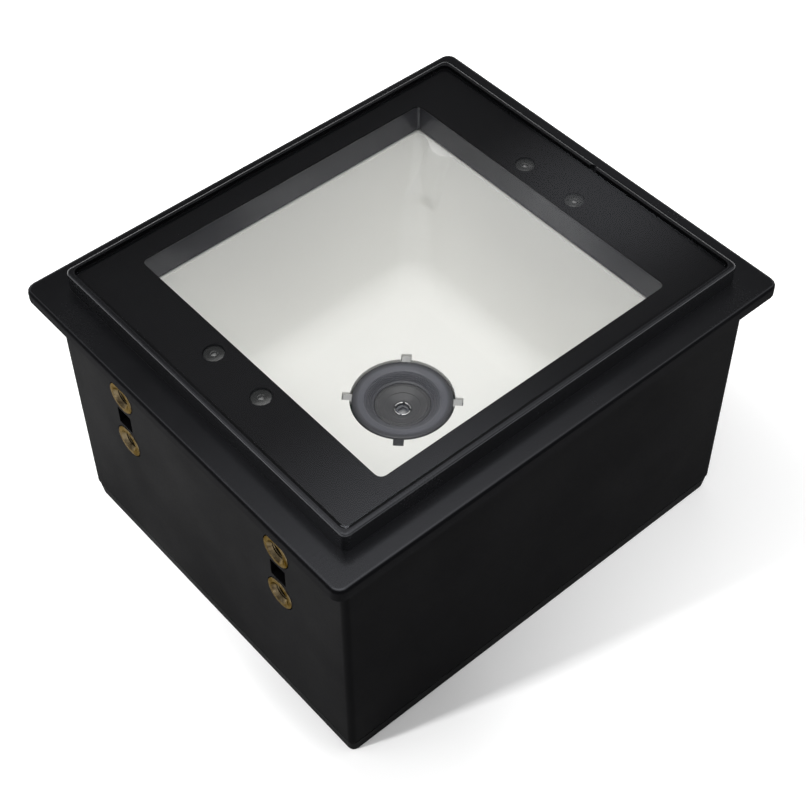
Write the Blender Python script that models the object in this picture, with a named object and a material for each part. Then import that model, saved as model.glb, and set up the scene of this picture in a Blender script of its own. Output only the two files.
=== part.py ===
"""Fixed barcode reader for a panel cut-out, as an assembly of separate pieces.

Sizes are in millimetres and turn into metres where a mesh is made. The reader stands on its
bottom cover with +Z up: +X runs along its long side and the socket is in the +Y wall.
"""

import math

import bmesh
import bpy
from mathutils import Matrix

MM = 0.001
GAP = 0.3
CUT_MARGIN = 1.0
JOINT_OVERLAP = 0.4

# Flange and raised frame
FLANGE_X = 79.0
FLANGE_Y = 68.2
FLANGE_TOP = 45.2
FLANGE_THICKNESS = 2.15
FLANGE_CORNER = 1.6
FLANGE_EDGE = 0.6
FLANGE_FOOT_EDGE = 0.2
FLANGE_REBATE = 0.3
FRAME_X = 69.8
FRAME_Y = 59.8
FRAME_RISE = 3.25
FRAME_CORNER = 1.0
FRAME_EDGE = 0.35
FRAME_WALL = 1.8
LIP_WIDTH = 0.7

# Glass plate, print film and window
GLASS_RECESS = 0.2
GLASS_THICKNESS = 0.7
GLASS_CORNER = 0.8
GLASS_EDGE = 0.15
MASK_THICKNESS = 0.2
FILM_GAP = 0.1
WINDOW_X = 50.8
WINDOW_Y = 50.7
WINDOW_CORNER = 1.0
WINDOW_WALL = 1.0
WINDOW_WALL_CORNER = 0.4
WINDOW_STEP_OUT = 0.1
WINDOW_DEPTH = 5.55
DECK_THICKNESS = 1.5
PRY_NOTCH_RADIUS = 0.6
PRY_NOTCH_DEPTH = 0.6
PRY_NOTCH_Y = -2.6

# Body and bottom cover
BODY_X = 73.0
BODY_Y = 62.6
BODY_CORNER = 1.0
BODY_WALL = 1.8
BODY_FOOT_EDGE = 0.3
COVER_HEIGHT = 2.4
COVER_INSET = 0.15
COVER_TAPER = 0.25
COVER_EDGE = 0.2
COVER_RIB_HEIGHT = 1.5
COVER_RIB_WIDTH = 1.2
COVER_RIB_SHARE = 0.6

# Brass inserts in the end walls, a pair above and below each slot
INSERT_Y = 17.35
INSERT_MIDDLE_Z = 29.35
INSERT_PITCH_Z = 9.3
INSERT_HEAD_RADIUS = 2.5
INSERT_HEAD_HEIGHT = 0.8
INSERT_BODY_RADIUS = 2.1
INSERT_LENGTH = 4.6
INSERT_BORE_RADIUS = 1.3
INSERT_PROUD = 0.1
INSERT_BORE_CHAMFER = 0.25
INSERT_HEAD_CHAMFER = 0.1
PAD_DEPTH = 3.5
PAD_MARGIN = 1.2
SLOT_WIDTH = 3.1
SLOT_HEIGHT = 3.2

# White light tunnel
TUNNEL_TOP_CORNER = 0.6
TUNNEL_CORNER = 5.0
TUNNEL_DRAFT = math.radians(16.0)
TUNNEL_FILLET = 5.0
TUNNEL_FLOOR_Z = 21.2
TUNNEL_WALL = 1.1
TUNNEL_RIM_HEIGHT = 1.2
TUNNEL_STEP_IN = 0.3
TUNNEL_SKIRT = 6.0
TUNNEL_BOSS_X = 25.2
TUNNEL_BOSS_Y = 20.3
TUNNEL_BOSS_RADIUS = 2.6
EAR_X = 30.0
EAR_Y = 15.3
EAR_RADIUS = 2.6

# Camera in the floor of the tunnel
LENS_BEZEL_RADIUS = 7.6
LENS_BEZEL_HEIGHT = 1.75
LENS_BEZEL_EDGE = 0.3
LENS_SUNK = 0.05
LENS_RIM_INNER = 7.1
LENS_DISH_RADIUS = 5.7
LENS_DISH_DEPTH = 0.45
LUG_REACH = 8.75
LUG_WIDTH = 1.15
LUG_THICKNESS = 0.6
LUG_DROP = 1.1
LUG_COUNT = 4
BARREL_RADIUS = 4.2
BARREL_DROP = 1.2
BARREL_LENGTH = 5.4
BARREL_FOOT_EDGE = 0.2
BARREL_TOP_EDGE = 0.1
BARREL_LAND = 0.3
LENS_SEAT_LAND = 0.5
FRONT_LENS_RADIUS = 1.1
FRONT_LENS_DROP = 2.2
FRONT_LENS_THICKNESS = 1.2
FRONT_LENS_RISE = 0.35
LIGHT_PATH_RADIUS = 0.77
HOLDER_RADIUS = 6.4
HOLDER_BASE = 15.0
HOLDER_BASE_HEIGHT = 2.5
HOLDER_CORNER = 1.0
SENSOR_CAVITY = 9.0
SENSOR_CAVITY_HEIGHT = 1.7
IMAGE_SENSOR_X = 6.4
IMAGE_SENSOR_Y = 5.6
IMAGE_SENSOR_HEIGHT = 0.9

# Boards
CAMERA_BOARD_X = 57.0
CAMERA_BOARD_Y = 47.2
CAMERA_BOARD_TOP = 12.0
CAMERA_BOARD_THICKNESS = 1.2
MAIN_BOARD_X = 58.0
MAIN_BOARD_Y = 56.6
MAIN_BOARD_TOP = 6.0
MAIN_BOARD_THICKNESS = 1.6
BOARD_POST_X = 26.0
BOARD_POST_Y = 24.8
BOARD_POST_RADIUS = 2.4
BOARD_CORNER = 1.0
LED_SPREAD = 13.0
LED_SIZE = 2.8
LED_HEIGHT = 1.3
PROCESSOR_SIZE = 12.0
PROCESSOR_HEIGHT = 1.2
PROCESSOR_AT = (13.0, -8.0)
BUZZER_RADIUS = 4.5
BUZZER_HEIGHT = 4.0
BUZZER_EDGE = 0.3
BUZZER_HOLE_RADIUS = 1.0
BUZZER_HOLE_DEPTH = 1.5
BUZZER_AT = (-17.0, -8.0)
LINK_X = 14.0
LINK_Y = 3.6
LINK_AT_Y = -18.5

# Sensors and indicator lamps beside the window
LAMP_X = 28.15
LAMP_Y = 5.05
LAMP_RADIUS = 1.45
LAMP_HEIGHT = 4.3
LAMP_HOLE_MARGIN = 0.1
SENSOR_BOARD_Y = 24.0
SENSOR_BOARD_THICKNESS = 1.2
SENSOR_BOARD_WIDTH = 7.0
SENSOR_BOARD_DROP = 0.2
PEG_X = 31.8
PEG_Y = 9.5
PEG_RADIUS = 0.8
PEG_PROUD = 0.6
PEG_SHOULDER_RADIUS = 1.5

# Interface socket in the +Y wall
SOCKET_X = 15.8
SOCKET_LENGTH = 15.2
SOCKET_HEIGHT = 12.8
SOCKET_RECESS = 0.2
SOCKET_MOUTH_X = 11.9
SOCKET_MOUTH_Z = 7.4
SOCKET_MOUTH_DEPTH = 12.5
SOCKET_FLOOR = 2.0
SOCKET_LATCH_X = 6.2
SOCKET_LATCH_Z = 1.6
CONTACT_COUNT = 8
CONTACT_PITCH = 1.02
CONTACT_WIDTH = 0.46
CONTACT_THICKNESS = 0.35
CONTACT_SETBACK = 1.5
CONTACT_TIP_SETBACK = 2.0
CONTACT_DROP = 2.8

# Screws and the posts that take them
CASE_POST_X = 31.9
CASE_POST_Y = 26.5
CASE_POST_RADIUS = 2.3
CASE_SCREW_LENGTH = 14.0
CASE_SCREW_RADIUS = 1.25
CASE_HEAD_RADIUS = 2.2
CASE_HEAD_HEIGHT = 1.3
CASE_HEAD_SUNK = 0.1
BOARD_SCREW_LENGTH = 3.6
BOARD_SCREW_RADIUS = 1.0
BOARD_HEAD_RADIUS = 1.9
BOARD_HEAD_HEIGHT = 1.3
TUNNEL_SCREW_LENGTH = 4.4
CAMERA_SCREW_LENGTH = 7.0
SCREW_BOSS_RADIUS = 2.2

# Fineness of round forms
CORNER_STEPS = 4
HIDDEN_ROUND = 8
SMALL_ROUND = 16
HEAD_BORE_ROUND = 20
MEDIUM_ROUND = 24
LARGE_ROUND = 48
SMOOTH_ANGLE = math.radians(38.0)

# Levels that follow from the sizes above
FLANGE_BOTTOM = FLANGE_TOP - FLANGE_THICKNESS
FRAME_TOP = FLANGE_TOP + FRAME_RISE
GLASS_TOP = FRAME_TOP - GLASS_RECESS
MASK_TOP = GLASS_TOP - GLASS_THICKNESS - FILM_GAP
DECK_TOP = MASK_TOP - MASK_THICKNESS - FILM_GAP
DECK_BOTTOM = DECK_TOP - DECK_THICKNESS
WINDOW_BOTTOM = GLASS_TOP - WINDOW_DEPTH
POCKET_X = FRAME_X / 2 - LIP_WIDTH
POCKET_Y = FRAME_Y / 2 - LIP_WIDTH
TUNNEL_TOP_Z = WINDOW_BOTTOM - GAP
TUNNEL_TOP_HALF = WINDOW_X / 2 - TUNNEL_STEP_IN
TUNNEL_RIM_HALF = WINDOW_X / 2 + WINDOW_WALL
TUNNEL_RIM_BOTTOM = TUNNEL_TOP_Z - TUNNEL_RIM_HEIGHT
LENS_TOP_Z = TUNNEL_FLOOR_Z - LENS_SUNK
LENS_BEZEL_BOTTOM = LENS_TOP_Z - LENS_BEZEL_HEIGHT
HOLDER_TOP = LENS_BEZEL_BOTTOM - GAP
HOLDER_BOTTOM = CAMERA_BOARD_TOP + GAP
CAMERA_BOARD_BOTTOM = CAMERA_BOARD_TOP - CAMERA_BOARD_THICKNESS
MAIN_BOARD_BOTTOM = MAIN_BOARD_TOP - MAIN_BOARD_THICKNESS
BODY_TOP = FLANGE_BOTTOM + FLANGE_REBATE - GAP
BODY_BOTTOM = COVER_HEIGHT + GAP
SENSOR_BOARD_TOP = TUNNEL_TOP_Z - SENSOR_BOARD_DROP
LAMP_BOTTOM = SENSOR_BOARD_TOP + GAP
SOCKET_BOTTOM = MAIN_BOARD_TOP + GAP
SOCKET_TOP = SOCKET_BOTTOM + SOCKET_HEIGHT
SOCKET_FRONT = BODY_Y / 2 - SOCKET_RECESS
SOCKET_BACK = SOCKET_FRONT - SOCKET_LENGTH


def clear_scene():
    """Remove every object of the scene."""
    for obj in list(bpy.data.objects):
        bpy.data.objects.remove(obj, do_unlink=True)


def material(name, colour, roughness, metallic=0.0, transmission=0.0):
    """Return a Principled material with the given finish."""
    made = bpy.data.materials.new(name)
    made.use_nodes = True
    shader = made.node_tree.nodes["Principled BSDF"]
    shader.inputs["Base Color"].default_value = (*colour, 1.0)
    shader.inputs["Roughness"].default_value = roughness
    shader.inputs["Metallic"].default_value = metallic
    shader.inputs["Transmission Weight"].default_value = transmission
    return made


def black_plastic():
    """Finely grained black moulding."""
    return material("black_plastic", (0.012, 0.012, 0.013), 0.42)


def print_black():
    """Screen-printed black under the glass."""
    return material("print_black", (0.006, 0.006, 0.007), 0.3)


def clear_glass():
    """Clear glass plate."""
    return material("clear_glass", (0.95, 0.97, 0.96), 0.05, transmission=1.0)


def white_plastic():
    """Matte white moulding of the light tunnel."""
    return material("white_plastic", (0.82, 0.82, 0.79), 0.55)


def brass():
    """Turned brass."""
    return material("brass", (0.62, 0.42, 0.15), 0.28, metallic=1.0)


def grey_plastic():
    """Dark grey moulding around the camera."""
    return material("grey_plastic", (0.03, 0.031, 0.034), 0.38)


def lens_glass():
    """Coated front lens."""
    return material("lens_glass", (0.16, 0.17, 0.19), 0.06)


def lamp_resin():
    """Smoked translucent resin of the sensors."""
    return material("lamp_resin", (0.1, 0.11, 0.1), 0.15)


def board_green():
    """Solder mask of the circuit boards."""
    return material("board_green", (0.01, 0.09, 0.04), 0.4)


def chip_black():
    """Moulded chip package."""
    return material("chip_black", (0.015, 0.015, 0.016), 0.5)


def led_white():
    """White lamp package."""
    return material("led_white", (0.85, 0.8, 0.55), 0.4)


def steel():
    """Plated steel of the screws."""
    return material("steel", (0.35, 0.35, 0.36), 0.3, metallic=1.0)


def gold():
    """Gold-plated contacts."""
    return material("gold", (0.8, 0.57, 0.2), 0.25, metallic=1.0)


def from_bmesh(name, shape, finish=None):
    """Turn a bmesh in millimetres into an object in metres with outward faces."""
    bmesh.ops.recalc_face_normals(shape, faces=shape.faces)
    bmesh.ops.scale(shape, vec=(MM, MM, MM), verts=shape.verts)
    mesh = bpy.data.meshes.new(name)
    shape.to_mesh(mesh)
    shape.free()
    obj = bpy.data.objects.new(name, mesh)
    bpy.context.scene.collection.objects.link(obj)
    if finish is not None:
        mesh.materials.append(finish)
    return obj


def rounded_rectangle(half_x, half_y, radius, z):
    """Return the points of a rounded rectangle at height z, counter-clockwise."""
    points = []
    for corner, (sign_x, sign_y) in enumerate(((1, 1), (-1, 1), (-1, -1), (1, -1))):
        centre_x = sign_x * (half_x - radius)
        centre_y = sign_y * (half_y - radius)
        for step in range(CORNER_STEPS + 1):
            angle = math.pi / 2 * (corner + step / CORNER_STEPS)
            points.append((centre_x + radius * math.cos(angle), centre_y + radius * math.sin(angle), z))
    return points


def skin(name, rings, closed=False, finish=None):
    """Join rings of equal length into one solid, capped at its ends unless it closes on itself."""
    shape = bmesh.new()
    rows = [[shape.verts.new(point) for point in ring] for ring in rings]
    pairs = list(zip(rows, rows[1:]))
    if closed:
        pairs.append((rows[-1], rows[0]))
    for lower, upper in pairs:
        for index, corner in enumerate(lower):
            following = (index + 1) % len(lower)
            shape.faces.new((corner, lower[following], upper[following], upper[index]))
    if not closed:
        shape.faces.new(reversed(rows[0]))
        shape.faces.new(rows[-1])
    return from_bmesh(name, shape, finish)


def stack(name, levels, finish=None):
    """Skin rounded rectangles given as (half_x, half_y, radius, z) from bottom to top."""
    return skin(name, [rounded_rectangle(*level) for level in levels], finish=finish)


def block(name, x, y, z, finish=None):
    """Return a box between the pairs x, y and z."""
    shape = bmesh.new()
    bmesh.ops.create_cube(shape, size=1.0)
    middle = Matrix.Translation(((x[0] + x[1]) / 2, (y[0] + y[1]) / 2, (z[0] + z[1]) / 2))
    sizes = Matrix.Diagonal((x[1] - x[0], y[1] - y[0], z[1] - z[0], 1.0))
    bmesh.ops.transform(shape, matrix=middle @ sizes, verts=shape.verts)
    return from_bmesh(name, shape, finish)


def turned(name, profile, steps, finish=None, at=(0.0, 0.0)):
    """Revolve an (r, z) profile about a vertical axis; it ends on the axis or closes on itself."""
    shape = bmesh.new()
    rows = []
    for radius, z in profile:
        if radius == 0.0:
            rows.append([shape.verts.new((at[0], at[1], z))] * steps)
            continue
        turns = [2 * math.pi * step / steps for step in range(steps)]
        rows.append(
            [shape.verts.new((at[0] + radius * math.cos(a), at[1] + radius * math.sin(a), z)) for a in turns]
        )
    pairs = list(zip(rows, rows[1:]))
    if profile[0][0] > 0.0:
        pairs.append((rows[-1], rows[0]))
    for lower, upper in pairs:
        for step in range(steps):
            following = (step + 1) % steps
            corners = (lower[step], lower[following], upper[following], upper[step])
            shape.faces.new(tuple(dict.fromkeys(corners)))
    return from_bmesh(name, shape, finish)


def rod(name, radius, z, at=(0.0, 0.0), steps=SMALL_ROUND, finish=None):
    """Return an upright cylinder between the pair z."""
    return turned(name, [(0.0, z[0]), (radius, z[0]), (radius, z[1]), (0.0, z[1])], steps, finish, at)


def rod_along_x(name, radius, x, y, z, steps=SMALL_ROUND):
    """Return a cylinder that lies along X between the pair x."""
    tool = rod(name, radius, x, steps=steps)
    turn = Matrix.Rotation(math.pi / 2, 4, "Y")
    tool.data.transform(Matrix.Translation((0.0, y * MM, z * MM)) @ turn)
    return tool


def combine(body, operation, tools):
    """Join the tools to the body, or cut them from it, and remove them."""
    for tool in tools:
        step = body.modifiers.new("combine", "BOOLEAN")
        step.operation = operation
        step.solver = "EXACT"
        step.object = tool
        graph = bpy.context.evaluated_depsgraph_get()
        made = bpy.data.meshes.new_from_object(body.evaluated_get(graph))
        body.modifiers.clear()
        body.data = made
        bpy.data.objects.remove(tool, do_unlink=True)
    return body


def join(body, *tools):
    """Unite the tools with the body."""
    return combine(body, "UNION", tools)


def cut(body, *tools):
    """Cut the tools out of the body."""
    return combine(body, "DIFFERENCE", tools)


def four_ways(x, y):
    """Return the point and its three mirror images about the two upright middle planes."""
    return [(sign_x * x, sign_y * y) for sign_x in (-1, 1) for sign_y in (-1, 1)]


def quarter_arc(inset, z, radius, steps=4):
    """Return (inset, z) pairs of a rounded upper edge that starts on the side at z - radius."""
    pairs = []
    for step in range(steps + 1):
        turn = math.pi / 2 * step / steps
        pairs.append((inset + radius - radius * math.cos(turn), z - radius + radius * math.sin(turn)))
    return pairs


def front_bezel(finish):
    """Flange and raised frame with the glass seat, window wall, sensor holes and screw posts."""
    half_x, half_y = FLANGE_X / 2, FLANGE_Y / 2
    foot = FLANGE_FOOT_EDGE
    levels = [(half_x - foot, half_y - foot, FLANGE_CORNER - foot, FLANGE_BOTTOM)]
    levels.append((half_x, half_y, FLANGE_CORNER, FLANGE_BOTTOM + foot))
    for inset, z in quarter_arc(0.0, FLANGE_TOP, FLANGE_EDGE):
        levels.append((half_x - inset, half_y - inset, FLANGE_CORNER - inset, z))
    frame_x, frame_y = FRAME_X / 2, FRAME_Y / 2
    levels.append((frame_x, frame_y, FRAME_CORNER, FLANGE_TOP))
    for inset, z in quarter_arc(0.0, FRAME_TOP, FRAME_EDGE, 3):
        levels.append((frame_x - inset, frame_y - inset, FRAME_CORNER - inset, z))
    body = stack("front_bezel", levels, finish)

    above = FRAME_TOP + CUT_MARGIN
    below = WINDOW_BOTTOM - CUT_MARGIN
    seat = stack(
        "glass_seat",
        [(POCKET_X, POCKET_Y, GLASS_CORNER + GAP, DECK_TOP), (POCKET_X, POCKET_Y, GLASS_CORNER + GAP, above)],
    )
    inner_x, inner_y = frame_x - FRAME_WALL, frame_y - FRAME_WALL
    hollow = stack(
        "underside",
        [(inner_x, inner_y, FRAME_CORNER, below), (inner_x, inner_y, FRAME_CORNER, DECK_BOTTOM)],
    )
    rebate_x, rebate_y = BODY_X / 2 + GAP, BODY_Y / 2 + GAP
    rebate = stack(
        "rebate",
        [(rebate_x, rebate_y, BODY_CORNER + GAP, z) for z in (below, FLANGE_BOTTOM + FLANGE_REBATE)],
    )
    cut(body, seat, hollow, rebate)

    wall_top = DECK_TOP - DECK_THICKNESS / 2
    corner = WINDOW_WALL_CORNER + WINDOW_WALL
    window_x, window_y = WINDOW_X / 2 + WINDOW_STEP_OUT, WINDOW_Y / 2 + WINDOW_STEP_OUT
    outer_x, outer_y = window_x + WINDOW_WALL, window_y + WINDOW_WALL
    join(body, stack("window_wall", [(outer_x, outer_y, corner, z) for z in (WINDOW_BOTTOM, wall_top)]))
    for x, y in four_ways(EAR_X, EAR_Y):
        join(body, rod("ear_boss", SCREW_BOSS_RADIUS, (TUNNEL_TOP_Z + GAP, wall_top), (x, y), HIDDEN_ROUND))
    for x, y in four_ways(PEG_X, PEG_Y):
        shoulder_z = (SENSOR_BOARD_TOP + GAP, wall_top)
        join(body, rod("shoulder", PEG_SHOULDER_RADIUS, shoulder_z, (x, y), HIDDEN_ROUND))
        peg_bottom = SENSOR_BOARD_TOP - SENSOR_BOARD_THICKNESS - PEG_PROUD
        join(body, rod("peg", PEG_RADIUS, (peg_bottom, wall_top), (x, y), HIDDEN_ROUND))
    for x, y in four_ways(CASE_POST_X, CASE_POST_Y):
        join(body, rod("case_post", CASE_POST_RADIUS, (BODY_BOTTOM, wall_top), (x, y), SMALL_ROUND))

    window = [(window_x, window_y, WINDOW_WALL_CORNER, z) for z in (below, above)]
    cut(body, stack("window", window))
    lamp_hole = LAMP_RADIUS + GAP
    for x, y in four_ways(LAMP_X, LAMP_Y):
        cut(body, rod("lamp_hole", lamp_hole, (below, above), (x, y)))
    for x, y in four_ways(EAR_X, EAR_Y):
        reach = (below, TUNNEL_RIM_BOTTOM + TUNNEL_SCREW_LENGTH)
        cut(body, rod("ear_screw", BOARD_SCREW_RADIUS + GAP, reach, (x, y), HIDDEN_ROUND))
    for x, y in four_ways(CASE_POST_X, CASE_POST_Y):
        top = COVER_HEIGHT + CASE_SCREW_LENGTH + CUT_MARGIN
        cut(body, rod("case_screw_hole", CASE_SCREW_RADIUS + GAP, (0.0, top), (x, y), HIDDEN_ROUND))
    notch_at = (POCKET_X, PRY_NOTCH_Y)
    cut(body, rod("pry_notch", PRY_NOTCH_RADIUS, (GLASS_TOP - PRY_NOTCH_DEPTH, above), notch_at, 12))
    return body


def cover_glass(finish):
    """Clear plate with ground edges, set in the frame."""
    half_x, half_y = POCKET_X - GAP, POCKET_Y - GAP
    bottom = GLASS_TOP - GLASS_THICKNESS
    levels = [(half_x - GLASS_EDGE, half_y - GLASS_EDGE, GLASS_CORNER, bottom)]
    levels.append((half_x, half_y, GLASS_CORNER, bottom + GLASS_EDGE))
    levels.append((half_x, half_y, GLASS_CORNER, GLASS_TOP - GLASS_EDGE))
    levels.append((half_x - GLASS_EDGE, half_y - GLASS_EDGE, GLASS_CORNER, GLASS_TOP))
    return stack("cover_glass", levels, finish)


def glass_mask(finish):
    """Black print film with the window and a round hole above each sensor."""
    half_x, half_y = POCKET_X - GAP, POCKET_Y - GAP
    bottom = MASK_TOP - MASK_THICKNESS
    film = stack("glass_mask", [(half_x, half_y, GLASS_CORNER, z) for z in (bottom, MASK_TOP)], finish)
    reach = (bottom - CUT_MARGIN, MASK_TOP + CUT_MARGIN)
    cut(film, stack("opening", [(WINDOW_X / 2, WINDOW_Y / 2, WINDOW_CORNER, z) for z in reach]))
    for x, y in four_ways(LAMP_X, LAMP_Y):
        cut(film, rod("sensor_hole", LAMP_RADIUS + LAMP_HOLE_MARGIN, reach, (x, y), SMALL_ROUND))
    return film


def housing_shell(finish):
    """Open box with a rounded foot edge, pads for the inserts, slots and the socket opening."""
    half_x, half_y = BODY_X / 2, BODY_Y / 2
    levels = []
    for inset, rise in quarter_arc(0.0, 0.0, BODY_FOOT_EDGE, 3)[::-1]:
        levels.append((half_x - inset, half_y - inset, BODY_CORNER, BODY_BOTTOM - rise))
    levels.append((half_x, half_y, BODY_CORNER, BODY_TOP))
    shell = stack("housing_shell", levels, finish)
    inner_x, inner_y = half_x - BODY_WALL, half_y - BODY_WALL
    reach = (BODY_BOTTOM - CUT_MARGIN, BODY_TOP + CUT_MARGIN)
    cut(shell, stack("inside", [(inner_x, inner_y, BODY_CORNER, z) for z in reach]))

    pad_y = INSERT_HEAD_RADIUS + PAD_MARGIN
    pad_z = INSERT_PITCH_Z / 2 + INSERT_HEAD_RADIUS + PAD_MARGIN
    for side in (-1, 1):
        for y in (-INSERT_Y, INSERT_Y):
            reach_x = sorted((side * (inner_x - PAD_DEPTH), side * (inner_x + BODY_WALL / 2)))
            reach_z = (INSERT_MIDDLE_Z - pad_z, INSERT_MIDDLE_Z + pad_z)
            join(shell, block("pad", reach_x, (y - pad_y, y + pad_y), reach_z))
    for side in (-1, 1):
        for y in (-INSERT_Y, INSERT_Y):
            cut_insert_bores(shell, side, y)
            slot_x = sorted((side * (inner_x - PAD_DEPTH - CUT_MARGIN), side * (half_x + CUT_MARGIN)))
            slot_y = (y - SLOT_WIDTH / 2, y + SLOT_WIDTH / 2)
            slot_z = (INSERT_MIDDLE_Z - SLOT_HEIGHT / 2, INSERT_MIDDLE_Z + SLOT_HEIGHT / 2)
            cut(shell, block("slot", slot_x, slot_y, slot_z))
    opening_x = SOCKET_X / 2 + GAP
    opening = block(
        "socket_opening",
        (-opening_x, opening_x),
        (inner_y - CUT_MARGIN, half_y + CUT_MARGIN),
        (SOCKET_BOTTOM - GAP, SOCKET_TOP + GAP),
    )
    return cut(shell, opening)


def cut_insert_bores(shell, side, y):
    """Cut the stepped blind bores of one pair of inserts."""
    face = BODY_X / 2
    depth = INSERT_LENGTH - INSERT_PROUD + GAP
    head_depth = INSERT_HEAD_HEIGHT - INSERT_PROUD + GAP
    for sign in (-1, 1):
        z = INSERT_MIDDLE_Z + sign * INSERT_PITCH_Z / 2
        deep = sorted((side * (face - depth), side * (face + CUT_MARGIN)))
        shallow = sorted((side * (face - head_depth), side * (face + CUT_MARGIN)))
        cut(shell, rod_along_x("bore", INSERT_BODY_RADIUS + GAP, deep, y, z, SMALL_ROUND))
        cut(shell, rod_along_x("head_bore", INSERT_HEAD_RADIUS + GAP / 2, shallow, y, z, HEAD_BORE_ROUND))


def insert_mesh(finish):
    """Return the mesh of a brass insert whose axis is +X, with its face at the origin."""
    depth = INSERT_LENGTH
    chamfer = INSERT_BORE_CHAMFER
    profile = [(INSERT_BORE_RADIUS + chamfer, 0.0), (INSERT_HEAD_RADIUS - INSERT_HEAD_CHAMFER, 0.0)]
    profile += [(INSERT_HEAD_RADIUS, -INSERT_HEAD_CHAMFER)]
    profile += [(INSERT_HEAD_RADIUS, -INSERT_HEAD_HEIGHT), (INSERT_BODY_RADIUS, -INSERT_HEAD_HEIGHT)]
    profile += [(INSERT_BODY_RADIUS, -depth)]
    profile += [(INSERT_BORE_RADIUS, -depth), (INSERT_BORE_RADIUS, -chamfer)]
    source = turned("insert_source", profile, SMALL_ROUND, finish)
    mesh = source.data
    mesh.transform(Matrix.Rotation(math.pi / 2, 4, "Y"))
    bpy.data.objects.remove(source, do_unlink=True)
    return mesh


def inserts(finish):
    """Place the eight inserts, four in each end wall."""
    mesh = insert_mesh(finish)
    made = []
    for side in (-1, 1):
        for y in (-INSERT_Y, INSERT_Y):
            for sign in (-1, 1):
                insert = bpy.data.objects.new(f"insert_{len(made) + 1}", mesh)
                z = INSERT_MIDDLE_Z + sign * INSERT_PITCH_Z / 2
                insert.location = (side * (BODY_X / 2 + INSERT_PROUD) * MM, y * MM, z * MM)
                insert.rotation_euler = (0.0, 0.0, 0.0 if side > 0 else math.pi)
                bpy.context.scene.collection.objects.link(insert)
                made.append(insert)
    return made


def bottom_cover(finish):
    """Base plate with locating ribs, board posts and sunk screw holes."""
    half_x, half_y = BODY_X / 2 - COVER_INSET, BODY_Y / 2 - COVER_INSET
    levels = []
    for inset, rise in quarter_arc(COVER_TAPER, 0.0, COVER_EDGE, 3)[::-1]:
        levels.append((half_x - inset, half_y - inset, BODY_CORNER, -rise))
    levels.append((half_x, half_y, BODY_CORNER, COVER_HEIGHT))
    plate = stack("bottom_cover", levels, finish)
    rib_x = BODY_X / 2 - BODY_WALL - GAP
    rib_y = BODY_Y / 2 - BODY_WALL - GAP
    rib_z = (COVER_HEIGHT - JOINT_OVERLAP, COVER_HEIGHT + COVER_RIB_HEIGHT)
    long_half, short_half = rib_x * COVER_RIB_SHARE, rib_y * COVER_RIB_SHARE
    for sign in (-1, 1):
        along_x = sorted((sign * rib_y, sign * (rib_y - COVER_RIB_WIDTH)))
        along_y = sorted((sign * rib_x, sign * (rib_x - COVER_RIB_WIDTH)))
        join(plate, block("rib", (-long_half, long_half), along_x, rib_z))
        join(plate, block("rib", along_y, (-short_half, short_half), rib_z))
    for at in four_ways(BOARD_POST_X, BOARD_POST_Y):
        post_z = (COVER_HEIGHT - JOINT_OVERLAP, MAIN_BOARD_BOTTOM - GAP)
        join(plate, rod("board_post", BOARD_POST_RADIUS, post_z, at, HIDDEN_ROUND))
    for at in four_ways(BOARD_POST_X, BOARD_POST_Y):
        depth = MAIN_BOARD_TOP + GAP - BOARD_SCREW_LENGTH - GAP
        cut(plate, rod("pilot_hole", BOARD_SCREW_RADIUS + GAP, (depth, MAIN_BOARD_TOP), at, HIDDEN_ROUND))
    for at in four_ways(CASE_POST_X, CASE_POST_Y):
        through = (-CUT_MARGIN, COVER_HEIGHT + CUT_MARGIN)
        cut(plate, rod("screw_hole", CASE_SCREW_RADIUS + GAP, through, at, HIDDEN_ROUND))
        sunk = (-CUT_MARGIN, CASE_HEAD_SUNK + CASE_HEAD_HEIGHT + GAP)
        cut(plate, rod("sunk_hole", CASE_HEAD_RADIUS + GAP, sunk, at, SMALL_ROUND))
    return plate


def tunnel_angles():
    """Return the polar angles of a tunnel ring, closer together towards the four corners."""
    offsets = (0.0, 1.0, 2.2, 5.0, 9.0, 14.0, 23.0, 45.0)
    quarter = sorted({45.0 + sign * offset for offset in offsets for sign in (-1, 1)})[:-1]
    return [math.radians(90.0 * turn + angle) for turn in range(4) for angle in quarter]


def tunnel_ring(half, radius, z):
    """Return one ring of the tunnel, a square with rounded corners, at height z."""
    points = []
    inner = half - radius
    for angle in tunnel_angles():
        along, across = abs(math.cos(angle)), abs(math.sin(angle))
        along, across = max(along, across), min(along, across)
        if half * across / along <= inner:
            reach = half / along
        else:
            lean = inner * (along + across)
            reach = lean + math.sqrt(lean * lean - 2 * inner * inner + radius * radius)
        points.append((reach * math.cos(angle), reach * math.sin(angle), z))
    return points


def tunnel_opening_ring(z):
    """Return the evenly spaced ring of the round camera opening, with as many points as the others."""
    radius = LENS_BEZEL_RADIUS + GAP
    count = len(tunnel_angles())
    turns = [2 * math.pi * step / count for step in range(count)]
    return [(radius * math.cos(turn), radius * math.sin(turn), z) for turn in turns]


def tunnel_wall_half(z):
    """Return the half width of the drafted inner wall at height z."""
    return TUNNEL_TOP_HALF - (TUNNEL_TOP_Z - z) * math.tan(TUNNEL_DRAFT)


def tunnel_corner(z):
    """Return the inner corner radius at height z, which grows from the rim to the fillet."""
    share = (TUNNEL_TOP_Z - z) / (TUNNEL_TOP_Z - TUNNEL_FLOOR_Z - TUNNEL_FILLET)
    return TUNNEL_TOP_CORNER + (TUNNEL_CORNER - TUNNEL_TOP_CORNER) * min(share, 1.0)


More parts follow.
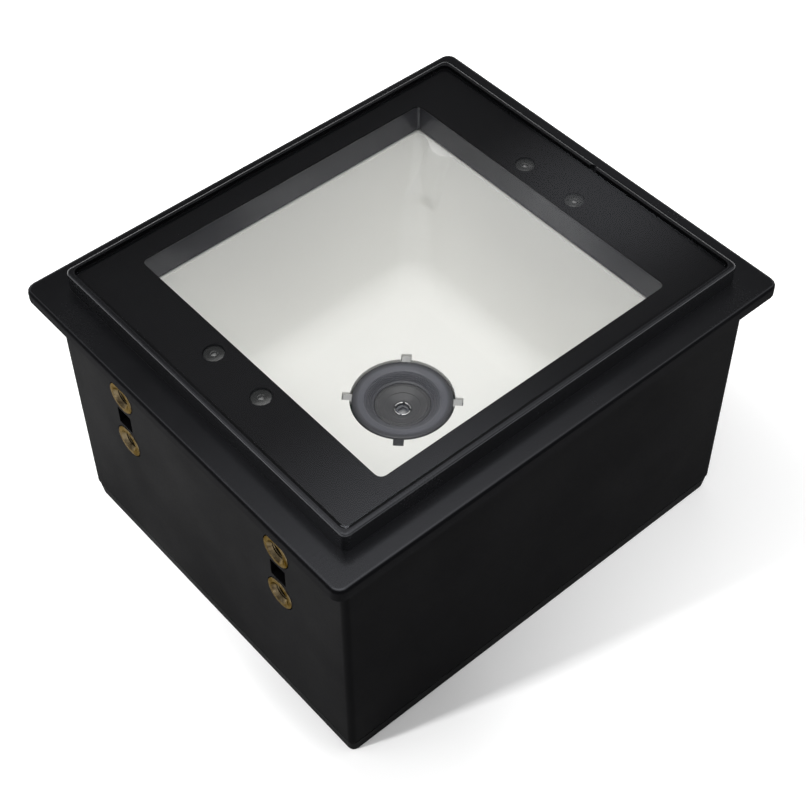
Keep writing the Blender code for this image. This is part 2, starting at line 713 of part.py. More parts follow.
def tunnel_fillet(offset, steps):
    """Return rings of the sweep from wall to floor, moved outwards by offset."""
    centre_z = TUNNEL_FLOOR_Z + TUNNEL_FILLET
    centre = tunnel_wall_half(centre_z) - TUNNEL_FILLET / math.cos(TUNNEL_DRAFT)
    sweep = TUNNEL_FILLET + offset
    rings = []
    for step in range(steps + 1):
        turn = TUNNEL_DRAFT + (math.pi / 2 - TUNNEL_DRAFT) * step / steps
        half = centre + sweep * math.cos(turn)
        z = centre_z - sweep * math.sin(turn)
        rings.append(tunnel_ring(half, TUNNEL_CORNER + offset, z))
    return rings


def light_reflector(finish):
    """White tub: square rim, drafted walls, corners that soften downwards, round camera opening."""
    thickness = TUNNEL_WALL / math.cos(TUNNEL_DRAFT)
    rings = []
    for share in (0.0, 0.33, 0.66):
        z = TUNNEL_TOP_Z - share * (TUNNEL_TOP_Z - TUNNEL_FLOOR_Z - TUNNEL_FILLET)
        rings.append(tunnel_ring(tunnel_wall_half(z), tunnel_corner(z), z))
    rings += tunnel_fillet(0.0, 5)
    rings.append(tunnel_opening_ring(TUNNEL_FLOOR_Z))
    rings.append(tunnel_opening_ring(TUNNEL_FLOOR_Z - TUNNEL_WALL))
    rings += tunnel_fillet(TUNNEL_WALL, 3)[::-1]
    for z in (TUNNEL_RIM_BOTTOM - TUNNEL_SKIRT, TUNNEL_RIM_BOTTOM):
        rings.append(tunnel_ring(tunnel_wall_half(z) + thickness, tunnel_corner(z) + thickness, z))
    rim_corner = TUNNEL_TOP_CORNER + WINDOW_WALL
    rings.append(tunnel_ring(TUNNEL_RIM_HALF, rim_corner, TUNNEL_RIM_BOTTOM))
    rings.append(tunnel_ring(TUNNEL_RIM_HALF, rim_corner, TUNNEL_TOP_Z))
    tub = skin("light_reflector", rings, closed=True, finish=finish)

    for sign in (-1, 1):
        at = (sign * TUNNEL_BOSS_X, sign * TUNNEL_BOSS_Y)
        boss_z = (HOLDER_BOTTOM, TUNNEL_TOP_Z)
        join(tub, rod("boss", TUNNEL_BOSS_RADIUS, boss_z, at, MEDIUM_ROUND))
        pilot = (HOLDER_BOTTOM - CUT_MARGIN, HOLDER_BOTTOM + CAMERA_SCREW_LENGTH)
        cut(tub, rod("pilot_hole", BOARD_SCREW_RADIUS + GAP, pilot, at, HIDDEN_ROUND))
    for x, y in four_ways(EAR_X, EAR_Y):
        sign = math.copysign(1, x)
        ear_x = sorted((sign * (TUNNEL_RIM_HALF - JOINT_OVERLAP), x))
        ear_z = (TUNNEL_RIM_BOTTOM, TUNNEL_TOP_Z)
        join(tub, block("ear", ear_x, (y - EAR_RADIUS, y + EAR_RADIUS), ear_z))
        join(tub, rod("ear_end", EAR_RADIUS, ear_z, (x, y), HIDDEN_ROUND))
        hole = (TUNNEL_RIM_BOTTOM - CUT_MARGIN, TUNNEL_TOP_Z + CUT_MARGIN)
        cut(tub, rod("ear_hole", BOARD_SCREW_RADIUS + GAP, hole, (x, y), HIDDEN_ROUND))
    notch_top = TUNNEL_FLOOR_Z + CUT_MARGIN
    for tool in lug_blocks("notch", LUG_REACH + GAP, LUG_WIDTH + 2 * GAP, LENS_BEZEL_BOTTOM, notch_top):
        cut(tub, tool)
    return tub


def lug_blocks(name, reach, width, bottom, top):
    """Return the radial blocks of the lugs on the diagonals, or of the notches that take them."""
    tools = []
    for turn in range(LUG_COUNT):
        tool = block(name, (LENS_RIM_INNER, reach), (-width / 2, width / 2), (bottom, top))
        tool.data.transform(Matrix.Rotation(math.pi / 4 + 2 * math.pi * turn / LUG_COUNT, 4, "Z"))
        tools.append(tool)
    return tools


def lens_bezel(finish):
    """Dished dark ring around the camera with four lugs."""
    dish_z = LENS_TOP_Z - LENS_DISH_DEPTH
    inner = BARREL_RADIUS + GAP
    profile = [(inner, LENS_BEZEL_BOTTOM), (LENS_BEZEL_RADIUS, LENS_BEZEL_BOTTOM)]
    edge = quarter_arc(0.0, LENS_TOP_Z, LENS_BEZEL_EDGE, 3)
    profile += [(LENS_BEZEL_RADIUS - inset, z) for inset, z in edge]
    profile += [(LENS_RIM_INNER, LENS_TOP_Z), (LENS_DISH_RADIUS, dish_z), (inner, LENS_TOP_Z - BARREL_DROP)]
    ring = turned("lens_bezel", profile, LARGE_ROUND, finish)
    top = LENS_TOP_Z - LUG_DROP
    return join(ring, *lug_blocks("lug", LUG_REACH, LUG_WIDTH, top - LUG_THICKNESS, top))


def lens_holder(finish):
    """Square foot with the sensor space and the tube that takes the barrel."""
    half = HOLDER_BASE / 2
    foot_top = HOLDER_BOTTOM + HOLDER_BASE_HEIGHT
    foot = stack("lens_holder", [(half, half, HOLDER_CORNER, z) for z in (HOLDER_BOTTOM, foot_top)], finish)
    join(foot, rod("tube", HOLDER_RADIUS, (foot_top - JOINT_OVERLAP, HOLDER_TOP), steps=MEDIUM_ROUND))
    ceiling = HOLDER_BOTTOM + SENSOR_CAVITY_HEIGHT
    cavity = SENSOR_CAVITY / 2
    cavity_z = (HOLDER_BOTTOM - CUT_MARGIN, ceiling)
    cut(foot, block("sensor_space", (-cavity, cavity), (-cavity, cavity), cavity_z))
    bore_z = (ceiling - JOINT_OVERLAP, HOLDER_TOP + CUT_MARGIN)
    return cut(foot, rod("bore", BARREL_RADIUS + GAP, bore_z, steps=MEDIUM_ROUND))


def lens_barrel(finish):
    """Barrel with a hooded front, the lens seat and the light path."""
    top = LENS_TOP_Z - BARREL_DROP
    bottom = top - BARREL_LENGTH
    lens_z = LENS_TOP_Z - FRONT_LENS_DROP
    seat = FRONT_LENS_RADIUS + GAP
    seat_bottom = lens_z - FRONT_LENS_THICKNESS - GAP
    path = LIGHT_PATH_RADIUS
    rim = BARREL_RADIUS - BARREL_TOP_EDGE
    profile = [(path, bottom), (BARREL_RADIUS - BARREL_FOOT_EDGE, bottom)]
    profile += [(BARREL_RADIUS, bottom + BARREL_FOOT_EDGE)]
    profile += [(BARREL_RADIUS, top - BARREL_TOP_EDGE), (rim, top), (rim - BARREL_LAND, top)]
    profile += [(seat + LENS_SEAT_LAND, lens_z), (seat, lens_z)]
    profile += [(seat, seat_bottom), (path, seat_bottom)]
    return turned("lens_barrel", profile, MEDIUM_ROUND, finish)


def front_lens(finish):
    """Small domed lens in the seat of the barrel."""
    top = LENS_TOP_Z - FRONT_LENS_DROP
    edge = top - FRONT_LENS_RISE
    profile = [(0.0, top - FRONT_LENS_THICKNESS), (FRONT_LENS_RADIUS, top - FRONT_LENS_THICKNESS)]
    for step in range(4):
        turn = math.pi / 2 * step / 4
        profile.append((FRONT_LENS_RADIUS * math.cos(turn), edge + (top - edge) * math.sin(turn)))
    profile.append((0.0, top))
    return turned("front_lens", profile, SMALL_ROUND, finish)


def camera_board(finish):
    """Board that carries the camera and the lamps, cut back around the socket."""
    half_x, half_y = CAMERA_BOARD_X / 2, CAMERA_BOARD_Y / 2
    faces = (CAMERA_BOARD_BOTTOM, CAMERA_BOARD_TOP)
    board = stack("camera_board", [(half_x, half_y, BOARD_CORNER, z) for z in faces], finish)
    reach = (CAMERA_BOARD_BOTTOM - CUT_MARGIN, CAMERA_BOARD_TOP + CUT_MARGIN)
    notch_x = SOCKET_X / 2 + 2 * GAP
    notch_y = (SOCKET_BACK - 2 * GAP, half_y + CUT_MARGIN)
    cut(board, block("socket_notch", (-notch_x, notch_x), notch_y, reach))
    for sign in (-1, 1):
        at = (sign * TUNNEL_BOSS_X, sign * TUNNEL_BOSS_Y)
        cut(board, rod("screw_hole", BOARD_SCREW_RADIUS + GAP, reach, at, HIDDEN_ROUND))
    return board


def main_board(finish):
    """Main board on the posts of the bottom cover."""
    half_x, half_y = MAIN_BOARD_X / 2, MAIN_BOARD_Y / 2
    faces = (MAIN_BOARD_BOTTOM, MAIN_BOARD_TOP)
    board = stack("main_board", [(half_x, half_y, BOARD_CORNER, z) for z in faces], finish)
    reach = (MAIN_BOARD_BOTTOM - CUT_MARGIN, MAIN_BOARD_TOP + CUT_MARGIN)
    for at in four_ways(BOARD_POST_X, BOARD_POST_Y):
        cut(board, rod("screw_hole", BOARD_SCREW_RADIUS + GAP, reach, at, HIDDEN_ROUND))
    return board


def chip(name, size, height, bottom, at, finish):
    """Low package with bevelled upper edges; size is (x, y)."""
    half_x, half_y = size[0] / 2, size[1] / 2
    rings = []
    for half_a, half_b, z in (
        (half_x, half_y, bottom),
        (half_x, half_y, bottom + height * 0.7),
        (half_x - height * 0.15, half_y - height * 0.15, bottom + height),
    ):
        corners = ((1, 1), (-1, 1), (-1, -1), (1, -1))
        rings.append([(at[0] + a * half_a, at[1] + b * half_b, z) for a, b in corners])
    return skin(name, rings, finish=finish)


def board_pieces(chip_finish, led_finish):
    """Image sensor, processor, board link, buzzer and the four lamps of the tunnel."""
    bottom = MAIN_BOARD_TOP + GAP
    sensor_size = (IMAGE_SENSOR_X, IMAGE_SENSOR_Y)
    chip("image_sensor", sensor_size, IMAGE_SENSOR_HEIGHT, HOLDER_BOTTOM, (0.0, 0.0), chip_finish)
    chip("processor", (PROCESSOR_SIZE, PROCESSOR_SIZE), PROCESSOR_HEIGHT, bottom, PROCESSOR_AT, chip_finish)
    link_x, link_y = LINK_X / 2, LINK_Y / 2
    link_z = (bottom, CAMERA_BOARD_BOTTOM - GAP)
    block("board_link", (-link_x, link_x), (LINK_AT_Y - link_y, LINK_AT_Y + link_y), link_z, chip_finish)
    top = bottom + BUZZER_HEIGHT
    hole_floor = top - BUZZER_HOLE_DEPTH
    profile = [(0.0, bottom), (BUZZER_RADIUS, bottom)]
    profile += [(BUZZER_RADIUS, top - BUZZER_EDGE), (BUZZER_RADIUS - BUZZER_EDGE, top)]
    profile += [(BUZZER_HOLE_RADIUS, top), (BUZZER_HOLE_RADIUS, hole_floor), (0.0, hole_floor)]
    turned("buzzer", profile, SMALL_ROUND, chip_finish, BUZZER_AT)
    spots = ((LED_SPREAD, 0.0), (0.0, LED_SPREAD), (-LED_SPREAD, 0.0), (0.0, -LED_SPREAD))
    for number, at in enumerate(spots, 1):
        chip(f"light_led_{number}", (LED_SIZE, LED_SIZE), LED_HEIGHT, HOLDER_BOTTOM, at, led_finish)


def sensor_boards(finish):
    """Two strips that hang on the pegs beside the window."""
    faces = (SENSOR_BOARD_TOP - SENSOR_BOARD_THICKNESS, SENSOR_BOARD_TOP)
    inner = TUNNEL_RIM_HALF + GAP
    for number, side in enumerate((-1, 1), 1):
        reach_x = sorted((side * inner, side * (inner + SENSOR_BOARD_WIDTH)))
        reach_y = (-SENSOR_BOARD_Y / 2, SENSOR_BOARD_Y / 2)
        board = block(f"sensor_board_{number}", reach_x, reach_y, faces, finish)
        for y in (-PEG_Y, PEG_Y):
            reach = (faces[0] - CUT_MARGIN, faces[1] + CUT_MARGIN)
            cut(board, rod("peg_hole", PEG_RADIUS + GAP, reach, (side * PEG_X, y), HIDDEN_ROUND))


def sensor_lamps(finish):
    """Four domed sensors and lamps below the round holes of the print."""
    shoulder = LAMP_BOTTOM + LAMP_HEIGHT - LAMP_RADIUS
    for number, at in enumerate(four_ways(LAMP_X, LAMP_Y), 1):
        profile = [(0.0, LAMP_BOTTOM), (LAMP_RADIUS, LAMP_BOTTOM)]
        for step in range(4):
            turn = math.pi / 2 * step / 4
            profile.append((LAMP_RADIUS * math.cos(turn), shoulder + LAMP_RADIUS * math.sin(turn)))
        profile.append((0.0, shoulder + LAMP_RADIUS))
        turned(f"sensor_lamp_{number}", profile, SMALL_ROUND, finish, at)


def interface_socket(finish):
    """Modular socket on the main board with its mouth in the +Y wall and a latch slot below it."""
    half = SOCKET_X / 2
    body = block(
        "interface_socket", (-half, half), (SOCKET_BACK, SOCKET_FRONT), (SOCKET_BOTTOM, SOCKET_TOP), finish
    )
    mouth = SOCKET_MOUTH_X / 2
    mouth_y = (SOCKET_FRONT - SOCKET_MOUTH_DEPTH, SOCKET_FRONT + CUT_MARGIN)
    mouth_z = (SOCKET_BOTTOM + SOCKET_FLOOR + SOCKET_LATCH_Z, SOCKET_BOTTOM + SOCKET_FLOOR + SOCKET_MOUTH_Z)
    cut(body, block("mouth", (-mouth, mouth), mouth_y, mouth_z))
    latch = SOCKET_LATCH_X / 2
    latch_z = (SOCKET_BOTTOM + SOCKET_FLOOR, mouth_z[0] + JOINT_OVERLAP)
    cut(body, block("latch_slot", (-latch, latch), mouth_y, latch_z))
    return body


def socket_contacts(finish):
    """Eight spring contacts that run along the roof of the socket and lean back into its mouth."""
    roof = SOCKET_BOTTOM + SOCKET_FLOOR + SOCKET_MOUTH_Z - GAP
    back = SOCKET_FRONT - SOCKET_MOUTH_DEPTH + GAP
    front = SOCKET_FRONT - CONTACT_SETBACK
    thick = CONTACT_THICKNESS
    tip = (back + CONTACT_TIP_SETBACK, roof - CONTACT_DROP)
    bend = front - 2 * thick * (front - tip[0]) / CONTACT_DROP
    outline = [(back, roof), (front, roof), tip]
    outline += [(tip[0], tip[1] + thick), (bend, roof - thick), (back, roof - thick)]
    for number in range(CONTACT_COUNT):
        middle = (number - (CONTACT_COUNT - 1) / 2) * CONTACT_PITCH
        sides = (middle - CONTACT_WIDTH / 2, middle + CONTACT_WIDTH / 2)
        rings = [[(x, y, z) for y, z in outline] for x in sides]
        skin(f"socket_contact_{number + 1}", rings, finish=finish)


def screw_mesh(head_radius, head_height, radius, length, steps, finish):
    """Return a pan-head screw mesh with its seat at the origin and its shaft along -Z."""
    profile = [(0.0, -length), (radius * 0.5, -length), (radius, -length + radius * 0.6), (radius, 0.0)]
    profile += [(head_radius, 0.0), (head_radius, head_height * 0.45)]
    profile += [(head_radius * 0.75, head_height), (0.0, head_height)]
    source = turned("screw_source", profile, steps, finish)
    arm, width, top = head_radius * 0.55, head_radius * 0.16, head_height + CUT_MARGIN
    floor = head_height * 0.45
    across = block("recess", (-arm, arm), (-width, width), (floor, top))
    along = block("recess", (-width, width), (-arm, arm), (floor, top))
    cut(source, join(across, along))
    mesh = source.data
    bpy.data.objects.remove(source, do_unlink=True)
    return mesh


def place_screws(name, mesh, spots, z, upright=True):
    """Place one screw at each spot with its seat at z, head up or head down."""
    for number, (x, y) in enumerate(spots, 1):
        screw = bpy.data.objects.new(f"{name}_{number}", mesh)
        screw.location = (x * MM, y * MM, z * MM)
        screw.rotation_euler = (0.0 if upright else math.pi, 0.0, 0.0)
        bpy.context.scene.collection.objects.link(screw)


def screws(finish):
    """All screws: case, main board, camera board and light tunnel."""
    case = screw_mesh(CASE_HEAD_RADIUS, CASE_HEAD_HEIGHT, CASE_SCREW_RADIUS, CASE_SCREW_LENGTH, 12, finish)
    seat = CASE_HEAD_SUNK + CASE_HEAD_HEIGHT
    place_screws("case_screw", case, four_ways(CASE_POST_X, CASE_POST_Y), seat, False)
    small = (BOARD_HEAD_RADIUS, BOARD_HEAD_HEIGHT, BOARD_SCREW_RADIUS)
    board = screw_mesh(*small, BOARD_SCREW_LENGTH, HIDDEN_ROUND, finish)
    place_screws("board_screw", board, four_ways(BOARD_POST_X, BOARD_POST_Y), MAIN_BOARD_TOP + GAP)
    tunnel = screw_mesh(*small, TUNNEL_SCREW_LENGTH, HIDDEN_ROUND, finish)
    place_screws("reflector_screw", tunnel, four_ways(EAR_X, EAR_Y), TUNNEL_RIM_BOTTOM - GAP, False)
    camera = screw_mesh(*small, CAMERA_SCREW_LENGTH, HIDDEN_ROUND, finish)
    spots = [(sign * TUNNEL_BOSS_X, sign * TUNNEL_BOSS_Y) for sign in (-1, 1)]
    place_screws("camera_screw", camera, spots, CAMERA_BOARD_BOTTOM - GAP, False)


def shade():
    """Shade round faces smooth and keep the edges of the pieces sharp."""
    for mesh in {obj.data for obj in bpy.context.scene.objects if obj.type == "MESH"}:
        mesh.shade_smooth()
        mesh.set_sharp_from_angle(angle=SMOOTH_ANGLE)


def main():
    """Build the reader piece by piece."""
    clear_scene()
    black = black_plastic()
    grey = grey_plastic()
    green = board_green()
    dark_chip = chip_black()
    front_bezel(black)
    cover_glass(clear_glass())
    glass_mask(print_black())
    housing_shell(black)
    bottom_cover(black)
    inserts(brass())
    light_reflector(white_plastic())
    lens_bezel(grey)
    lens_holder(grey)
    lens_barrel(grey)
    front_lens(lens_glass())
    camera_board(green)
    main_board(green)
    board_pieces(dark_chip, led_white())
    sensor_boards(green)
    sensor_lamps(lamp_resin())
    interface_socket(dark_chip)
    socket_contacts(gold())
    screws(steel())
    shade()


main()
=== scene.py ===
"""Looks of the fixed barcode reader: its finishes, its fine pieces, the studio and the camera.

Sizes are in millimetres and turn into metres where a mesh or a lamp is made. The reader stands on
its bottom cover with +Z up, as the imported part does.
"""

import logging
import math
from dataclasses import dataclass
from enum import Enum
from typing import Iterable, Sequence

import bmesh
import bpy
from mathutils import Matrix, Vector


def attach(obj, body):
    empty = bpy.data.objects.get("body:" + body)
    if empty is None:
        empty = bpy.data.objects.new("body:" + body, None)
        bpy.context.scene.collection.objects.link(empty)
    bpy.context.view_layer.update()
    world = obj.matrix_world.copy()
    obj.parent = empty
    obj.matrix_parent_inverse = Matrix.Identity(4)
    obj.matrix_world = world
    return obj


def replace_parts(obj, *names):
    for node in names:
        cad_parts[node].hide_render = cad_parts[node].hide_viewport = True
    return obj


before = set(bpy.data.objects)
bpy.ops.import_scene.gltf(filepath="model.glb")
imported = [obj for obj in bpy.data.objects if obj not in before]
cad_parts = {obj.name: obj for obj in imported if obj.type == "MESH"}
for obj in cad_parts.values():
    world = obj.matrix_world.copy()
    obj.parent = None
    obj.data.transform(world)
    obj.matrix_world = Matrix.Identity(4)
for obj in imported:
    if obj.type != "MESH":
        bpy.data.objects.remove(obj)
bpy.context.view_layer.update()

# One millimetre and the distance at which points merge, both in metres.
MM = 0.001
MERGE = 1e-7
# Range that holds most values of a noise.
NOISE_SPAN = (0.3, 0.7)
# Nothing and everything, as the colours of a mask.
NONE = (0.0, 0.0, 0.0, 1.0)
FULL = (1.0, 1.0, 1.0, 1.0)

LOG = logging.getLogger("reader")

Profile = Sequence[tuple[float, float]]
Colour = tuple[float, float, float]


class Body(Enum):
    """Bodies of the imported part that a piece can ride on."""

    ROOT = "root"


class Axis(Enum):
    """Direction in which the axis of a turned piece points."""

    UP = "up"
    LEFT = "left"
    RIGHT = "right"

    def matrix(self) -> Matrix:
        """Return the turn that takes +Z to this direction."""
        if self is Axis.LEFT:
            return Matrix.Rotation(-math.pi / 2, 4, "Y")
        if self is Axis.RIGHT:
            return Matrix.Rotation(math.pi / 2, 4, "Y")
        return Matrix.Identity(4)


# Node graphs


class Graph:
    """Node tree of one material or of the world, with short calls that add and link nodes."""

    def __init__(self, owner: bpy.types.ID) -> None:
        """Start an empty tree on the owner.

        Args:
            owner: Material or world that carries the tree.
        """
        owner.use_nodes = True
        self.tree = owner.node_tree
        self.tree.nodes.clear()

    def add(self, kind: str, inputs: dict | None = None, **settings: object) -> bpy.types.Node:
        """Add one node.

        Args:
            kind: Type name of the node.
            inputs: Socket name or number to a value, or to the socket that feeds it.
            settings: Properties of the node itself.

        Returns:
            The new node.
        """
        node = self.tree.nodes.new(kind)
        for name, value in settings.items():
            setattr(node, name, value)
        for name, value in (inputs or {}).items():
            if isinstance(value, bpy.types.NodeSocket):
                self.tree.links.new(value, node.inputs[name])
            else:
                node.inputs[name].default_value = value
        return node

    def math(self, operation: str, *values: object) -> bpy.types.NodeSocket:
        """Return the result of one math node.

        Args:
            operation: Name of the operation.
            values: Its numbers or sockets, in order.

        Returns:
            The value socket.
        """
        node = self.add("ShaderNodeMath", dict(enumerate(values)), operation=operation)
        return node.outputs[0]

    def spread(
        self, value: object, source: tuple, target: tuple, smooth: bool = False
    ) -> bpy.types.NodeSocket:
        """Map a value from one range to another and hold it there.

        Args:
            value: Socket or number to map.
            source: Lowest and highest value that comes in.
            target: Values that they turn into.
            smooth: Eases the ends of the range.

        Returns:
            The mapped value.
        """
        names = ("From Min", "From Max", "To Min", "To Max")
        inputs = dict(zip(names, (*source, *target)))
        inputs["Value"] = value
        kind = "SMOOTHSTEP" if smooth else "LINEAR"
        return self.add("ShaderNodeMapRange", inputs, interpolation_type=kind).outputs["Result"]

    def mix(self, share: object, first: object, second: object) -> bpy.types.NodeSocket:
        """Blend two colours.

        Args:
            share: How much of the second colour shows.
            first: Colour or socket at 0.
            second: Colour or socket at 1.

        Returns:
            The blended colour.
        """
        node = self.add("ShaderNodeMix", {0: share}, data_type="RGBA")
        for socket, value in ((node.inputs[6], first), (node.inputs[7], second)):
            if isinstance(value, bpy.types.NodeSocket):
                self.tree.links.new(value, socket)
            else:
                socket.default_value = (*value, 1.0)
        return node.outputs[2]

    def ramp(self, value: bpy.types.NodeSocket, stops: Profile, reach: float) -> bpy.types.NodeSocket:
        """Follow a curve of numbers.

        Args:
            value: Socket in metres.
            stops: Distance in millimetres and the number there.
            reach: Distance in millimetres that ends the curve.

        Returns:
            The number on the curve.
        """
        share = self.math("MULTIPLY", value, 1.0 / (reach * MM))
        node = self.add("ShaderNodeValToRGB", {0: share})
        node.color_ramp.interpolation = "B_SPLINE"
        while len(node.color_ramp.elements) < len(stops):
            node.color_ramp.elements.new(0.5)
        for stop, (distance, number) in zip(node.color_ramp.elements, stops):
            stop.position = distance / reach
            stop.color = (number, number, number, 1.0)
        return node.outputs[0]

    def length(self, first: object, second: object) -> bpy.types.NodeSocket:
        """Return the length that two distances at a right angle make together."""
        squares = self.math("ADD", self.math("POWER", first, 2.0), self.math("POWER", second, 2.0))
        return self.math("SQRT", squares)

    def background_rays(self) -> bpy.types.NodeSocket:
        """Return 1 for the rays that show the background: seen, mirrored and transmitted ones."""
        rays = self.add("ShaderNodeLightPath").outputs
        seen = self.math("MAXIMUM", rays["Is Camera Ray"], rays["Is Glossy Ray"])
        return self.math("MAXIMUM", seen, rays["Is Transmission Ray"])

    def show(self, shader: bpy.types.NodeSocket, target: str = "ShaderNodeOutputMaterial") -> None:
        """Connect a shader to the output of the tree."""
        self.add(target, {"Surface": shader})


class Skin(Graph):
    """Material on object coordinates, with the patterns that the finishes share."""

    def __init__(self, name: str) -> None:
        """Make the material and its coordinates.

        Args:
            name: Name of the material.
        """
        self.material = bpy.data.materials.new(name)
        super().__init__(self.material)
        self.point = self.add("ShaderNodeTexCoord").outputs["Object"]

    def noise(self, size: float, detail: float = 2.0, stretch: tuple | None = None) -> bpy.types.NodeSocket:
        """Return soft random spots.

        Args:
            size: Size of a spot in millimetres.
            detail: Number of finer layers.
            stretch: Scale along each axis, where the spots aren't round.

        Returns:
            A value around one half.
        """
        point = self.point
        if stretch is not None:
            point = self.add("ShaderNodeMapping", {"Vector": point, "Scale": stretch}).outputs[0]
        inputs = {"Vector": point, "Scale": 1.0 / (size * MM), "Detail": detail, "Roughness": 0.55}
        return self.add("ShaderNodeTexNoise", inputs).outputs["Fac"]

    def wander(self, size: float, detail: float, low: float, high: float) -> bpy.types.NodeSocket:
        """Return a number that wanders softly between two others.

        Args:
            size: Size of a spot in millimetres.
            detail: Number of finer layers.
            low: Lowest number.
            high: Highest number.

        Returns:
            The number.
        """
        return self.spread(self.noise(size, detail), NOISE_SPAN, (low, high))

    def vary(self, share: object, colour: Colour, low: float, high: float) -> bpy.types.NodeSocket:
        """Blend between two tones of a colour.

        Args:
            share: How much of the second tone shows.
            colour: The colour.
            low: Strength of the first tone.
            high: Strength of the second tone.

        Returns:
            The blended colour.
        """
        return self.mix(share, tuple(low * part for part in colour), tuple(high * part for part in colour))

    def cells(self, size: float) -> bpy.types.NodeSocket:
        """Return the distance to the nearest of many scattered points, in cells of a size."""
        inputs = {"Vector": self.point, "Scale": 1.0 / (size * MM)}
        return self.add("ShaderNodeTexVoronoi", inputs).outputs["Distance"]

    def edges(self, radius: float, gain: float = 6.0) -> bpy.types.NodeSocket:
        """Return 1 along sharp edges and 0 on flat faces.

        Args:
            radius: Reach of the edge in millimetres.
            gain: Strength of the edge.

        Returns:
            The edge value.
        """
        soft = self.add("ShaderNodeBevel", {"Radius": radius * MM}, samples=4).outputs[0]
        plain = self.add("ShaderNodeNewGeometry").outputs["Normal"]
        likeness = self.add("ShaderNodeVectorMath", {0: soft, 1: plain}, operation="DOT_PRODUCT")
        missing = self.math("SUBTRACT", 1.0, likeness.outputs["Value"])
        held = self.add("ShaderNodeMath", {0: missing, 1: gain}, operation="MULTIPLY", use_clamp=True)
        return held.outputs[0]

    def relief(
        self, height: object, depth: float, strength: float = 1.0, normal: object = None
    ) -> bpy.types.NodeSocket:
        """Return a normal that follows a height.

        Args:
            height: Value from 0 to 1.
            depth: Depth of the relief in millimetres.
            strength: Share of it that shows.
            normal: Normal to start from.

        Returns:
            The bent normal.
        """
        inputs = {"Height": height, "Distance": depth * MM, "Strength": strength}
        if normal is not None:
            inputs["Normal"] = normal
        return self.add("ShaderNodeBump", inputs).outputs["Normal"]

    def axis_distance(self, y: float, z: float, pitch: float) -> bpy.types.NodeSocket:
        """Return the distance in metres from the nearest of four axes along X.

        The axes are mirrored about the middle plane and about a middle height.

        Args:
            y: Distance of the axes from the middle in millimetres.
            z: Their middle height in millimetres.
            pitch: Distance between the upper and the lower axis in millimetres.

        Returns:
            The distance from the axis.
        """
        parts = self.add("ShaderNodeSeparateXYZ", {0: self.point})
        across = self.math("SUBTRACT", self.math("ABSOLUTE", parts.outputs[1]), y * MM)
        height = self.math("ABSOLUTE", self.math("SUBTRACT", parts.outputs[2], z * MM))
        return self.length(across, self.math("SUBTRACT", height, pitch / 2 * MM))

    def centre_distance(self) -> bpy.types.NodeSocket:
        """Return the distance in metres from the upright middle axis."""
        parts = self.add("ShaderNodeSeparateXYZ", {0: self.point})
        return self.length(parts.outputs[0], parts.outputs[1])

    def lines(self, distance: bpy.types.NodeSocket, pitch: float) -> bpy.types.NodeSocket:
        """Return fine lines at equal steps of a distance.

        Args:
            distance: Distance in metres.
            pitch: Distance between two lines in millimetres.

        Returns:
            A value between 0 and 1.
        """
        wave = self.math("SINE", self.math("MULTIPLY", distance, 2 * math.pi / (pitch * MM)))
        return self.spread(wave, (-1.0, 1.0), (0.0, 1.0))

    def surface(self, **inputs: object) -> bpy.types.Material:
        """Close the material with one Principled shader.

        Args:
            inputs: Sockets of the shader, with _ for a space.

        Returns:
            The finished material.
        """
        named = {name.replace("_", " "): value for name, value in inputs.items()}
        if "Base Color" in named and isinstance(named["Base Color"], tuple):
            named["Base Color"] = (*named["Base Color"], 1.0)
        shader = self.add("ShaderNodeBsdfPrincipled", named)
        self.show(shader.outputs[0])
        return self.material


# Finishes


@dataclass(frozen=True)
class Finish:
    """Base of all finishes."""

    name: str

    def build(self) -> bpy.types.Material:
        """Return the material of this finish."""
        raise NotImplementedError


